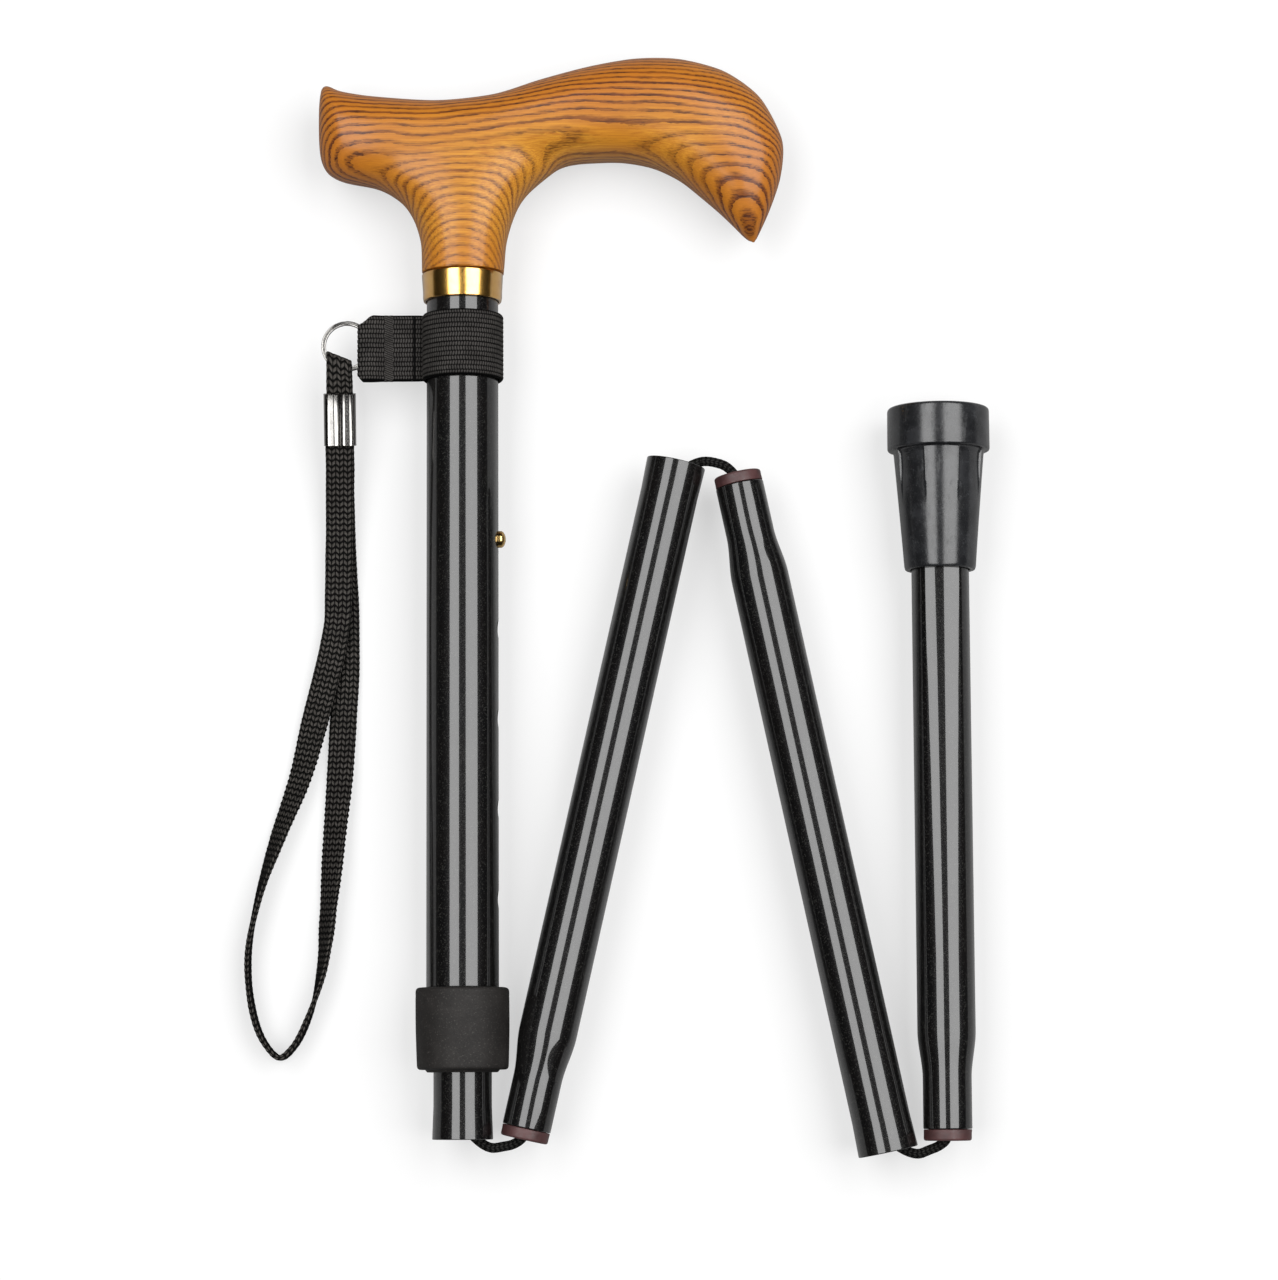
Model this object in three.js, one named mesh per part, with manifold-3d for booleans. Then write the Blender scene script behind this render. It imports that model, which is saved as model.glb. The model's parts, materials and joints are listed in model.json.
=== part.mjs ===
// A folding walking cane with a derby handle, lying on its side with its sections in a zigzag.
// Millimetres. X runs across the sections, +Y towards the handle, +Z up off the floor.
// Every section's axis lies in one level plane, and every fold turns about an upright axis.

import * as THREE from 'three';
import Module from 'manifold-3d';
import { mergeVertices } from 'three/addons/utils/BufferGeometryUtils.js';
import { ParametricGeometry } from 'three/addons/geometries/ParametricGeometry.js';

const wasm = await Module();
wasm.setup();

// ---------------------------------------------------------------- driving dimensions

const FIT = 0.2; // radial play of a sliding piece
const GAP = 0.3; // gap kept between pieces that rest on each other

const UPPER_R = 10; // upper tube, outside
const LOWER_R = 8; // every lower tube, outside
const WALL = 1.1; // wall of every tube
const UPPER_BORE = UPPER_R - WALL;
const LOWER_BORE = LOWER_R - WALL;

const SHAFT_LENGTH = 175; // tube that telescopes in the upper tube, from its mouth
const UPPER_FROM = 24.3; // lower end of the upper tube above that mouth
const UPPER_TO = 240.5;

const SECTION_LENGTH = 192; // folding sections 2 and 3, tip to mouth
const FOOT_LENGTH = 203; // section 4, tip to the floor face of its rubber tip
const SWAGE_R = LOWER_BORE - FIT; // drawn-down end that plugs into the next mouth
const SWAGE_LENGTH = 19.5;
const TAPER_LENGTH = 9;
const FLARE = 0.25; // how far a mouth opens out
const FLARE_LENGTH = 8;
const CAP_LENGTH = 3.2; // visible part of the plastic cap on a swaged end

const FOLD_OFFSET = 8.25; // fold axis to each section's axis
const FOLD_GAP = 0.4; // fold axis beyond the mouth
const OPENING = [12.9, 24.9, 12.0]; // degrees between neighbouring sections
const TIP_GAP = [2.2, 3.5, 1.6]; // fold axis to the next section's tip

const HOLE_PITCH = 25;
const HOLE_COUNT = 5;
const BUTTON_Y = 165.8; // snap button in its topmost hole
const BUTTON_R = 2.4;
const BUTTON_HOLE_R = BUTTON_R + 0.25;
const BUTTON_TOP = 12.05; // from the tube's axis

const COLLAR_FROM = 233;
const COLLAR_TO = 240.8;
const NECK_FROM = COLLAR_TO + GAP;
const STUD_R = 4;

const SLEEVE_FROM = 19;
const SLEEVE_TO = 41.5;
const SLEEVE_R = 12.9;

const BAND_FROM = 210.6;
const BAND_TO = 229.2;
const BAND_Y = (BAND_FROM + BAND_TO) / 2;
const BAND_THICKNESS = 1.0;
const RING_X = -32.4;
const RING_Y = BAND_Y + 0.7;
const RING_R = 6.5; // centre line
const RING_WIRE_R = 0.65;

const FERRULE_R = 14.3;
const FERRULE_FROM = 157.5;
const FLANGE_FROM = 191;
const FERRULE_SIDES = 28;
const LIE_HEIGHT = FERRULE_R; // axis plane above the floor: handle and rubber tip touch it
const HANDLE_HALF = 14.3; // half the handle's thickness

const CORD_R = 1.3;
const CORD_DEPTH = 7; // how far into the next section's tip a fold's own length of cord reaches
const EXIT_DEPTH = 14.5; // and into the mouth, clear of that tip when it is seated there
const KNOT_R = 2.7;
const ANCHOR_LENGTH = 5;
const ANCHOR_Y = 128; // plug that holds the cord's knotted upper end
const FOOT_ANCHOR = 140; // and its lower end, along the last section
const STRAP_WIDTH = 8.5;
const STRAP_THICKNESS = 2;
const PLY = 1.25; // centre of each strap ply from the crimp's middle plane
const STRAP_TILT = 13; // degrees, the crimp's slope down to the floor
const STRAP_X = -34.5; // where the strap hangs on the ring
const CRIMP_FROM = 7.2; // along the strap from the ring's wire
const CRIMP_LENGTH = 14.4;

const AROUND = 24; // facets around a tube
const CURVE_POINTS = 4; // facets along a small round

// ---------------------------------------------------------------- materials

const plain = (color, roughness, metalness = 0) =>
  new THREE.MeshStandardMaterial({ color, roughness, metalness });

const materials = {
  ash: plain(0xc47a2c, 0.4),
  gold: plain(0xd8a040, 0.2, 1),
  blackTube: plain(0x1a1816, 0.35, 0.5),
  blackRubber: plain(0x242322, 0.75),
  tipRubber: plain(0x2e3033, 0.55),
  nylon: plain(0xd9d6cc, 0.5),
  brownPlastic: plain(0x4b3232, 0.5),
  blackPlastic: plain(0x202020, 0.5),
  brass: plain(0xc9a24a, 0.25, 1),
  steel: plain(0xb8b8b8, 0.3, 1),
  nickel: plain(0xd0d0d0, 0.15, 1),
  webbing: plain(0x1c1b1b, 0.9),
  braid: plain(0x201f1e, 0.9),
  shockCord: plain(0x151515, 0.85),
};

// ---------------------------------------------------------------- shape helpers

const degrees = THREE.MathUtils.degToRad;

// One closed, outward-facing mesh: shared vertices merged, slivers with no area dropped.
function closed(geometry) {
  const bare = geometry.index ? geometry.clone() : geometry;
  bare.deleteAttribute('normal');
  bare.deleteAttribute('uv');
  const merged = mergeVertices(bare, 1e-4);
  const from = merged.index.array;
  const kept = [];
  let volume = 0;
  const [a, b, c] = [new THREE.Vector3(), new THREE.Vector3(), new THREE.Vector3()];
  for (let i = 0; i < from.length; i += 3) {
    const [p, q, r] = [from[i], from[i + 1], from[i + 2]];
    if (p === q || q === r || r === p) continue;
    kept.push(p, q, r);
    a.fromBufferAttribute(merged.attributes.position, p);
    b.fromBufferAttribute(merged.attributes.position, q);
    c.fromBufferAttribute(merged.attributes.position, r);
    volume += a.dot(b.cross(c));
  }
  if (volume < 0) kept.reverse();
  merged.setIndex(kept);
  return merged;
}

function solid(geometry) {
  const mesh = closed(geometry);
  return new wasm.Manifold(
    new wasm.Mesh({
      numProp: 3,
      vertProperties: new Float32Array(mesh.attributes.position.array),
      triVerts: new Uint32Array(mesh.index.array),
    }),
  );
}

function fromSolid(manifold) {
  const mesh = manifold.getMesh();
  const geometry = new THREE.BufferGeometry();
  geometry.setAttribute('position', new THREE.Float32BufferAttribute(mesh.vertProperties, 3));
  geometry.setIndex(Array.from(mesh.triVerts));
  return geometry;
}

const cut = (geometry, ...tools) =>
  fromSolid(tools.reduce((left, tool) => left.subtract(solid(tool)), solid(geometry)));

const join = (geometry, ...others) =>
  fromSolid(others.reduce((whole, other) => whole.add(solid(other)), solid(geometry)));

const lathe = (points, sides = AROUND) =>
  new THREE.LatheGeometry(points.map(([r, y]) => new THREE.Vector2(r, y)), sides);

// A ring's profile: outside points from bottom to top, then inside points from top to bottom.
const ringLathe = (points, sides = AROUND) => lathe([...points, points[0]], sides);

const rod = (r, from, to, sides = 20) =>
  new THREE.CylinderGeometry(r, r, to - from, sides).translate(0, (from + to) / 2, 0);

const rodAlongX = (r, from, to, y, sides = 12) =>
  rod(r, from, to, sides).rotateZ(-Math.PI / 2).translate(0, y, 0);

const box = (x, y, z) =>
  new THREE.BoxGeometry(x[1] - x[0], y[1] - y[0], z[1] - z[0]).translate(
    (x[0] + x[1]) / 2, (y[0] + y[1]) / 2, (z[0] + z[1]) / 2,
  );

// An outline in the XZ plane, extruded along Y between two heights.
const slab = (shape, from, to) =>
  new THREE.ExtrudeGeometry(shape, { depth: to - from, bevelEnabled: false, curveSegments: CURVE_POINTS })
    .rotateX(Math.PI / 2)
    .translate(0, to, 0);

function roundedRectangle(width, height, radius) {
  const [w, h] = [width / 2, height / 2];
  const shape = new THREE.Shape();
  shape.absarc(w - radius, h - radius, radius, 0, Math.PI / 2);
  shape.absarc(-w + radius, h - radius, radius, Math.PI / 2, Math.PI);
  shape.absarc(-w + radius, -h + radius, radius, Math.PI, 1.5 * Math.PI);
  shape.absarc(w - radius, -h + radius, radius, 1.5 * Math.PI, 2 * Math.PI);
  return shape;
}

const circle = (r, points = 8) =>
  new THREE.Shape(
    Array.from({ length: points }, (_, i) => {
      const angle = ((i + 0.5) / points) * 2 * Math.PI;
      return new THREE.Vector2(r * Math.cos(angle), r * Math.sin(angle));
    }),
  );

const alongCurve = (shape, curve, steps) =>
  new THREE.ExtrudeGeometry(shape, { steps, extrudePath: curve, bevelEnabled: false });

function part(name, geometry, material, parent) {
  const mesh = new THREE.Mesh(closed(geometry), material);
  mesh.name = name;
  parent.add(mesh);
  return mesh;
}

// ---------------------------------------------------------------- handle

// Stations along the handle from its blunt back end to its nose:
// underside x, y, then top x, y, then half thickness.
const HANDLE_STATIONS = [
  [-40.3, 281.6, -40.3, 282.4, 0],
  [-39.6, 274.0, -40.0, 290.6, 8.4],
  [-36.4, 268.8, -38.4, 295.0, 11.4],
  [-26.0, 267.0, -25.0, 293.0, 13.0],
  [-8.0, 268.0, -7.0, 290.9, 13.2],
  [9.0, 269.0, 9.0, 292.0, 13.2],
  [24.0, 271.0, 22.0, 296.2, 13.7],
  [36.0, 273.0, 36.0, 299.9, HANDLE_HALF],
  [45.5, 273.2, 49.0, 302.1, HANDLE_HALF],
  [54.0, 271.4, 61.5, 301.9, HANDLE_HALF],
  [61.0, 267.8, 74.0, 298.4, 13.7],
  [67.0, 263.0, 84.2, 290.8, 12.6],
  [71.8, 258.6, 89.4, 279.0, 10.8],
  [75.6, 255.0, 88.9, 269.5, 8.2],
  [78.6, 251.9, 85.8, 260.0, 4.8],
  [80.9, 249.8, 81.3, 249.8, 0],
];

// The neck's levels: height, left, right, half thickness.
const NECK_LEVELS = [
  [NECK_FROM, 0, 0, 0],
  [NECK_FROM, -11.4, 11.6, 11.4],
  [250, -12.0, 12.4, 11.6],
  [256.5, -13.8, 13.9, 11.9],
  [262, -17.6, 16.6, 12.2],
  [266.2, -24.5, 20.8, 12.4],
  [270.5, -27.0, 26.5, 11.8],
  [276, -22.0, 24.0, 9.0],
  [280, 0, 0, 0],
];

// A closed loft of rounded sections. frames(i) gives a ring's centre, its in-plane half axis and
// its half thickness for a station number that may fall between two stations.
function loft(stations, frame, along, around) {
  const curves = stations[0].map((_, column) =>
    new THREE.CatmullRomCurve3(stations.map((s) => new THREE.Vector3(s[column], 0, 0)), false,
      'catmullrom', 0.4));
  const squareness = 2 / 2.3;
  const surface = (u, v, target) => {
    const values = curves.map((curve) => curve.getPoint(u).x);
    const { centre, half, depth } = frame(values);
    const angle = 2 * Math.PI * v;
    const round = (value) => Math.sign(value) * Math.abs(value) ** squareness;
    const inPlane = round(Math.cos(angle));
    const across = round(Math.sin(angle)) * Math.max(depth, 0);
    const end = u < 1e-6 || u > 1 - 1e-6 ? 0 : 1;
    target.set(centre[0] + half[0] * inPlane * end, centre[1] + half[1] * inPlane * end, across * end);
  };
  return new ParametricGeometry(surface, along, around);
}

function handleShape() {
  const bar = loft(
    HANDLE_STATIONS,
    ([x0, y0, x1, y1, depth]) => ({
      centre: [(x0 + x1) / 2, (y0 + y1) / 2],
      half: [(x1 - x0) / 2, (y1 - y0) / 2],
      depth,
    }),
    38, 20,
  );
  const neck = loft(
    NECK_LEVELS,
    ([y, left, right, depth]) => ({
      centre: [(left + right) / 2, Math.max(y, NECK_FROM)],
      half: [(right - left) / 2, 0],
      depth,
    }),
    18, 20,
  );
  const studHole = rod(STUD_R + FIT, NECK_FROM - 5, NECK_FROM + 28);
  return cut(join(bar, neck), studHole);
}

// ---------------------------------------------------------------- tubes

function tubeProfile(outside, inside, from, to) {
  return [[outside, from], [outside, to], [inside, to], [inside, from]];
}

function upperTubeShape() {
  const tube = ringLathe(tubeProfile(UPPER_R, UPPER_BORE, UPPER_FROM, UPPER_TO));
  const holes = Array.from({ length: HOLE_COUNT }, (_, i) =>
    rodAlongX(BUTTON_HOLE_R, UPPER_BORE - 2, UPPER_R + 2, BUTTON_Y - i * HOLE_PITCH));
  return cut(tube, ...holes);
}

function innerTubeShape() {
  const tube = ringLathe(tubeProfile(LOWER_R, LOWER_BORE, 0, SHAFT_LENGTH));
  return cut(tube, rodAlongX(BUTTON_HOLE_R, LOWER_BORE - 2, LOWER_R + 2, BUTTON_Y));
}

// A section's tube from its swaged tip to its far end, which is a flared mouth or a plain end.
function sectionTube(length, flared) {
  const taperTo = SWAGE_LENGTH + TAPER_LENGTH;
  const middle = SWAGE_LENGTH + TAPER_LENGTH / 2;
  const between = (SWAGE_R + LOWER_R) / 2;
  const outside = [
    [SWAGE_R, CAP_LENGTH], [SWAGE_R, SWAGE_LENGTH], [SWAGE_R + 0.2, SWAGE_LENGTH + 2],
    [between, middle], [LOWER_R - 0.2, taperTo - 2], [LOWER_R, taperTo],
  ];
  const far = flared
    ? [[LOWER_R, length - FLARE_LENGTH], [LOWER_R + FLARE, length - 0.4],
       [LOWER_R + FLARE - 0.3, length], [LOWER_BORE + FLARE + 0.2, length],
       [LOWER_BORE, length - FLARE_LENGTH]]
    : [[LOWER_R, length], [LOWER_BORE, length]];
  const inside = [
    [LOWER_BORE, taperTo], [between - WALL, middle],
    [SWAGE_R - WALL, SWAGE_LENGTH], [SWAGE_R - WALL, CAP_LENGTH],
  ];
  return ringLathe([...outside, ...far, ...inside]);
}

// The cap's hole is flared so that the cord turns over a smooth rim.
function capShape() {
  const plug = SWAGE_R - WALL - FIT;
  const hole = CORD_R + 0.4;
  return ringLathe([
    [SWAGE_R - 0.5, 0], [SWAGE_R - 0.1, 0.4], [SWAGE_R - 0.1, CAP_LENGTH - 0.2],
    [plug, CAP_LENGTH - 0.2], [plug, CAP_LENGTH + 8], [hole, CAP_LENGTH + 8],
    [hole, 3.4], [hole + 0.6, 1.6], [hole + 1.6, 0.5], [hole + 2.9, 0],
  ]);
}

// ---------------------------------------------------------------- rubber tip

function ferruleShape() {
  const end = FOOT_LENGTH;
  const bore = LOWER_R + GAP;
  const pocket = end - 8.5;
  const body = ringLathe([
    [bore, FERRULE_FROM], [9.6, FERRULE_FROM], [10.1, FERRULE_FROM + 0.6],
    [12.5, FLANGE_FROM - 0.6], [12.7, FLANGE_FROM], [FERRULE_R - 0.5, FLANGE_FROM],
    [FERRULE_R, FLANGE_FROM + 0.9], [FERRULE_R - 0.1, end - 1.2], [FERRULE_R - 1.2, end],
    [11.6, end], [11.2, end - 1], [10.2, end - 1], [9.8, end],
    [6.6, end], [6.2, end - 1], [5.2, end - 1], [4.8, end],
    [0, end], [0, pocket], [bore + 1, pocket], [bore + 1, pocket - 1.8], [bore, pocket - 1.8],
  ], FERRULE_SIDES);
  // four shallow panels under the flange, which run out down the cone
  const [low, high] = [FLANGE_FROM - 14, FLANGE_FROM - 0.6];
  const skin = solid(ringLathe([[11.5, low], [14, low], [14, high], [11.8, high]], FERRULE_SIDES));
  const panels = [45, 135, 225, 315].map((angle) =>
    fromSolid(skin.intersect(solid(box([-5.2, 5.2], [low, high], [5, 20]).rotateY(degrees(angle))))));
  return cut(body, ...panels);
}

// ---------------------------------------------------------------- wrist strap hardware

// Elastic webbing round the tube, its two ends sewn together into a flat tab.
function bandShape() {
  const inside = UPPER_R + FIT;
  const outside = inside + BAND_THICKNESS;
  const half = 1.3;
  const start = Math.asin(half / outside);
  const outline = new THREE.Shape();
  outline.absarc(0, 0, outside, Math.PI + start, 3 * Math.PI - start);
  outline.lineTo(-20.9, half);
  outline.lineTo(-20.9, -half);
  const hole = new THREE.Path();
  hole.absarc(0, 0, inside, 0, 2 * Math.PI, true);
  outline.holes.push(hole);
  return new THREE.ExtrudeGeometry(outline,
    { depth: BAND_TO - BAND_FROM, bevelEnabled: false, curveSegments: 20 })
    .rotateX(Math.PI / 2)
    .translate(0, BAND_TO, 0);
}

// The tab's end, folded loosely round the ring and narrowed to pass through it.
function ringLoopShape() {
  const [from, to] = [-30.6, -21.2];
  const middle = (from + to) / 2;
  const loop = slab(roundedRectangle(to - from, 3.9, 1.9), BAND_FROM, BAND_TO).translate(middle, 0, 0);
  const slot = slab(roundedRectangle(to - from - 2.4, 1.9, 0.9), BAND_FROM - 1, BAND_TO + 1)
    .translate(middle, 0, 0);
  const bevels = [-1, 1].map((side) =>
    box([-12, 12], [0, 12], [-5, 5])
      .rotateZ(degrees(40))
      .scale(1, side, 1)
      .translate(from, RING_Y + side * 3.8, 0));
  return cut(loop, slot, ...bevels);
}

// The strap's end over the ring: both plies together in the crimp, opening round the wire.
function strapEyeShape() {
  const [leg, round, middle, width] = [PLY + STRAP_THICKNESS / 2, 3.7, 2.1, 6.4];
  const outline = new THREE.Shape();
  outline.moveTo(leg, -CRIMP_FROM - 6.8);
  outline.lineTo(leg, -6.5);
  outline.quadraticCurveTo(round, -3, round, middle);
  outline.absarc(0, middle, round, 0, Math.PI);
  outline.quadraticCurveTo(-round, -3, -leg, -6.5);
  outline.lineTo(-leg, -CRIMP_FROM - 6.8);
  const hole = new THREE.Path();
  const inside = round - STRAP_THICKNESS;
  hole.absarc(0, 0.1, inside, 0, -Math.PI, true);
  hole.absarc(0, middle, inside, Math.PI, 0, true);
  outline.holes.push(hole);
  return new THREE.ExtrudeGeometry(outline, { depth: width, bevelEnabled: false, curveSegments: 6 })
    .translate(0, 0, -width / 2)
    .rotateY(Math.PI / 2);
}

function crimpShape() {
  const outline = roundedRectangle(8.8, 6.1, 2.0);
  const hole = new THREE.Path(roundedRectangle(8.0, 5.2, 1.3).getPoints(CURVE_POINTS).reverse());
  outline.holes.push(hole);
  return slab(outline, -CRIMP_FROM - CRIMP_LENGTH, -CRIMP_FROM);
}

// The wrist strap's route, ply by ply: from the crimp along the left strand, round the loop at the
// bottom, where the braid stands on edge, and back along the right strand.
// x and y in the plane of the sections, z above the floor, and how far the braid has turned on edge.
const STRAP_ROUTE = [
  [-34.6, 193.0, 10.57, 0],
  [-34.7, 187.0, 9.2, 0],
  [-34.8, 178.0, 7.15, 0],
  [-34.9, 168.0, 5.25, 0],
  [-35.1, 157.0, 3.9, 0],
  [-35.5, 145.5, 3.35, 0],
  [-36.7, 137.0, 3.3, 0],
  [-38.4, 129.5, 3.25, 4],
  [-41.6, 117.3, 2.9, 14],
  [-45.9, 100.4, 3.4, 35],
  [-52.0, 83.6, 4.1, 58],
  [-57.2, 66.9, 4.5, 78],
  [-60.0, 50.2, 4.6, 90],
  [-58.4, 34.6, 4.6, 90],
  [-55.2, 26.6, 4.6, 90],
  [-51.0, 22.6, 4.6, 90],
  [-47.2, 25.6, 4.6, 90],
  [-43.0, 34.0, 4.6, 90],
  [-39.6, 46.5, 4.6, 96],
  [-37.6, 66.7, 4.5, 110],
  [-36.3, 83.5, 4.1, 130],
  [-34.9, 100.3, 2.8, 155],
  [-34.0, 117.2, 1.5, 172],
  [-33.4, 129.9, 1.15, 178],
  [-33.5, 145.2, 1.1, 180],
  [-34.0, 157.0, 1.5, 180],
  [-34.5, 168.0, 2.8, 180],
  [-34.7, 178.0, 4.7, 180],
  [-34.7, 187.0, 6.75, 180],
  [-34.6, 193.0, 8.13, 180],
];

// A curve whose section turns about it as it goes: flat where the turn is 0, on edge at 90.
class TurningCurve extends THREE.CatmullRomCurve3 {
  constructor(points, turns) {
    super(points, false, 'centripetal');
    this.turns = turns;
  }

  turnAt(t) {
    const place = t * (this.turns.length - 1);
    const i = Math.min(Math.floor(place), this.turns.length - 2);
    return THREE.MathUtils.lerp(this.turns[i], this.turns[i + 1], place - i);
  }

  computeFrenetFrames(steps) {
    const up = new THREE.Vector3(0, 0, 1);
    const frames = { tangents: [], normals: [], binormals: [] };
    for (let i = 0; i <= steps; i += 1) {
      const tangent = this.getTangentAt(i / steps);
      const level = new THREE.Vector3().crossVectors(up, tangent).normalize();
      const turn = degrees(this.turnAt(this.getUtoTmapping(i / steps)));
      const normal = level.applyAxisAngle(tangent, turn);
      frames.tangents.push(tangent);
      frames.normals.push(normal);
      frames.binormals.push(new THREE.Vector3().crossVectors(tangent, normal));
    }
    return frames;
  }
}

function strapShape() {
  const points = STRAP_ROUTE.map(([x, y, z]) => new THREE.Vector3(x, y, z - LIE_HEIGHT));
  const curve = new TurningCurve(points, STRAP_ROUTE.map((row) => row[3]));
  const [w, t] = [STRAP_WIDTH / 2, STRAP_THICKNESS / 2];
  const section = new THREE.Shape([
    [w, t / 2], [w - 1, t], [1 - w, t], [-w, t / 2], [-w, -t / 2], [1 - w, -t], [w - 1, -t], [w, -t / 2],
  ].map(([x, y]) => new THREE.Vector2(x, y)));
  return alongCurve(section, curve, 60);
}

// ---------------------------------------------------------------- shock cord

// The cord over a fold, in the frame of the fold's axis: out of the mouth, round the axis and into
// the next section's cap. side is which way the fold axis lies from the parent's axis.
function foldCord(side, turn, tipGap) {
  const a = FOLD_OFFSET;
  const parent = (offset, depth) =>
    new THREE.Vector3(-side * (a - offset), -FOLD_GAP - depth, 0);
  const child = (offset, depth) =>
    new THREE.Vector3(-side * (a - offset), tipGap + depth, 0)
      .applyAxisAngle(new THREE.Vector3(0, 0, 1), turn);
  const away = new THREE.Vector3(0, 1, 0)
    .sub(new THREE.Vector3(0, 1, 0).applyAxisAngle(new THREE.Vector3(0, 0, 1), turn))
    .setLength(1.6);
  return new THREE.CatmullRomCurve3([
    parent(0, EXIT_DEPTH), parent(0, CORD_DEPTH), parent(0.6, 3.8), parent(2.9, 0.6), parent(5.6, -1.4), away,
    child(4.6, -1.7), child(2.4, -0.9), child(0.5, 1.3), child(0, 4.2), child(0, CORD_DEPTH),
  ], false, 'centripetal');
}

// Part of a curve between two shares of its length.
function stretch(curve, from, to, points = 12) {
  return new THREE.CatmullRomCurve3(
    Array.from({ length: points }, (_, i) => curve.getPointAt(from + ((to - from) * i) / (points - 1))),
  );
}

function addFoldCord(number, side, turn, tipGap, parentAtFold, turnGroup, entryGroup) {
  const curve = foldCord(side, turn, tipGap);
  const length = curve.getLength();
  const share = GAP / length;
  const straight = EXIT_DEPTH - CORD_DEPTH;
  const [first, second] = [0.4, 0.62].map((part) => (straight + part * (length - straight)) / length);
  const pieces = [
    ['cord_exit', 0, first - share, parentAtFold],
    ['cord_turn', first + share, second - share, turnGroup],
    ['cord_entry', second + share, 1, entryGroup],
  ];
  for (const [name, from, to, group] of pieces) {
    part(`${name}_${number}`, alongCurve(circle(CORD_R), stretch(curve, from, to), 8),
      materials.shockCord, group);
  }
}

const cordInside = (from, to) => rod(CORD_R, from, to, 8);

function anchorShape(at) {
  return ringLathe([
    [LOWER_BORE - FIT, at], [LOWER_BORE - FIT, at + ANCHOR_LENGTH],
    [CORD_R + GAP, at + ANCHOR_LENGTH], [CORD_R + GAP, at],
  ], 24);
}

const knotShape = (anchorAt) =>
  new THREE.SphereGeometry(KNOT_R, 10, 6).translate(0, anchorAt + ANCHOR_LENGTH + KNOT_R + GAP, 0);

// ---------------------------------------------------------------- assembly

const cane = new THREE.Group();

// Upper part: handle, collar, upper tube and what is fixed to it.
const upper = new THREE.Group();
cane.add(upper);

part('handle', handleShape(), materials.ash, upper);
part('handle_stud', rod(STUD_R, 221, NECK_FROM + 26), materials.steel, upper);
part('top_plug', ringLathe([
  [UPPER_BORE - FIT, 218], [UPPER_BORE - FIT, UPPER_TO], [STUD_R + FIT, UPPER_TO], [STUD_R + FIT, 218],
]), materials.nylon, upper);
part('collar', ringLathe([
  [UPPER_R + FIT, COLLAR_FROM], [10.7, COLLAR_FROM], [10.95, COLLAR_FROM + 0.4],
  [11.45, COLLAR_TO - 0.5], [11.2, COLLAR_TO], [UPPER_R + FIT, COLLAR_TO],
]), materials.gold, upper);
part('upper_tube', upperTubeShape(), materials.blackTube, upper);
part('tube_sleeve', ringLathe([
  [LOWER_R + FIT, SLEEVE_FROM - 1.6], [10.4, SLEEVE_FROM - 1.6], [10.4, SLEEVE_FROM],
  [SLEEVE_R - 1.6, SLEEVE_FROM], [SLEEVE_R - 0.5, SLEEVE_FROM + 0.5], [SLEEVE_R, SLEEVE_FROM + 1.6],
  [SLEEVE_R, SLEEVE_TO - 1.6], [SLEEVE_R - 0.5, SLEEVE_TO - 0.5], [SLEEVE_R - 1.6, SLEEVE_TO],
  [UPPER_R + FIT, SLEEVE_TO], [UPPER_R + FIT, UPPER_FROM - GAP], [LOWER_R + FIT, UPPER_FROM - GAP],
]), materials.blackRubber, upper);
part('wrist_band', bandShape(), materials.webbing, upper);
part('ring_loop', ringLoopShape(), materials.webbing, upper);

// Split ring, swinging in the webbing loop, with the wrist strap hanging on it.
const ring = new THREE.Group();
upper.add(ring);
part('split_ring', new THREE.TorusGeometry(RING_R, RING_WIRE_R, 6, 28).translate(RING_X, RING_Y, 0),
  materials.nickel, ring);

const strap = new THREE.Group();
strap.position.set(STRAP_X, RING_Y - Math.sqrt(RING_R ** 2 - (STRAP_X - RING_X) ** 2), 0);
strap.rotation.x = degrees(STRAP_TILT);
ring.add(strap);
part('strap_eye', strapEyeShape(), materials.braid, strap);
part('strap_crimp', crimpShape(), materials.nickel, strap);
part('wrist_strap', strapShape(), materials.braid, ring);

// Telescoping shaft, with the snap button that locks it.
const shaft = new THREE.Group();
upper.add(shaft);
part('inner_tube', innerTubeShape(), materials.blackTube, shaft);
part('tube_bush', ringLathe(tubeProfile(UPPER_BORE - 0.1, LOWER_R + 0.1, BUTTON_Y + 3.2, SHAFT_LENGTH)),
  materials.nylon, shaft);

const BUTTON_FLANGE = [4.9, 5.7];
part('snap_button', lathe([
  [0, BUTTON_FLANGE[0]], [3.3, BUTTON_FLANGE[0]], [3.3, BUTTON_FLANGE[1]], [BUTTON_R, BUTTON_FLANGE[1]],
  [BUTTON_R, BUTTON_TOP - 1.1], [BUTTON_R - 0.4, BUTTON_TOP - 0.4], [BUTTON_R - 1.2, BUTTON_TOP - 0.05],
  [0, BUTTON_TOP],
], 16).rotateZ(-Math.PI / 2).translate(0, BUTTON_Y, 0), materials.brass, shaft);

// A bent leaf: one leg behind the button, one along the far wall.
function springShape() {
  const outline = new THREE.Shape();
  const [reach, thickness, bendY, bendX] = [BUTTON_FLANGE[0] - GAP, 0.5, BUTTON_Y - 16, 0.2];
  outline.moveTo(reach, BUTTON_Y + 3);
  outline.lineTo(reach, BUTTON_Y - 3);
  outline.quadraticCurveTo(reach - 0.4, bendY, bendX, bendY);
  outline.quadraticCurveTo(-5.4, bendY, -5.8, BUTTON_Y);
  outline.lineTo(-5.8 + thickness, BUTTON_Y);
  outline.quadraticCurveTo(-5.4 + thickness, bendY + thickness, bendX, bendY + thickness);
  outline.quadraticCurveTo(reach - 0.4 - thickness, bendY + thickness, reach - thickness, BUTTON_Y - 3);
  outline.lineTo(reach - thickness, BUTTON_Y + 3);
  return new THREE.ExtrudeGeometry(outline, { depth: 5, bevelEnabled: false, curveSegments: 6 })
    .translate(0, 0, -2.5);
}
part('button_spring', springShape(), materials.steel, shaft);

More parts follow.
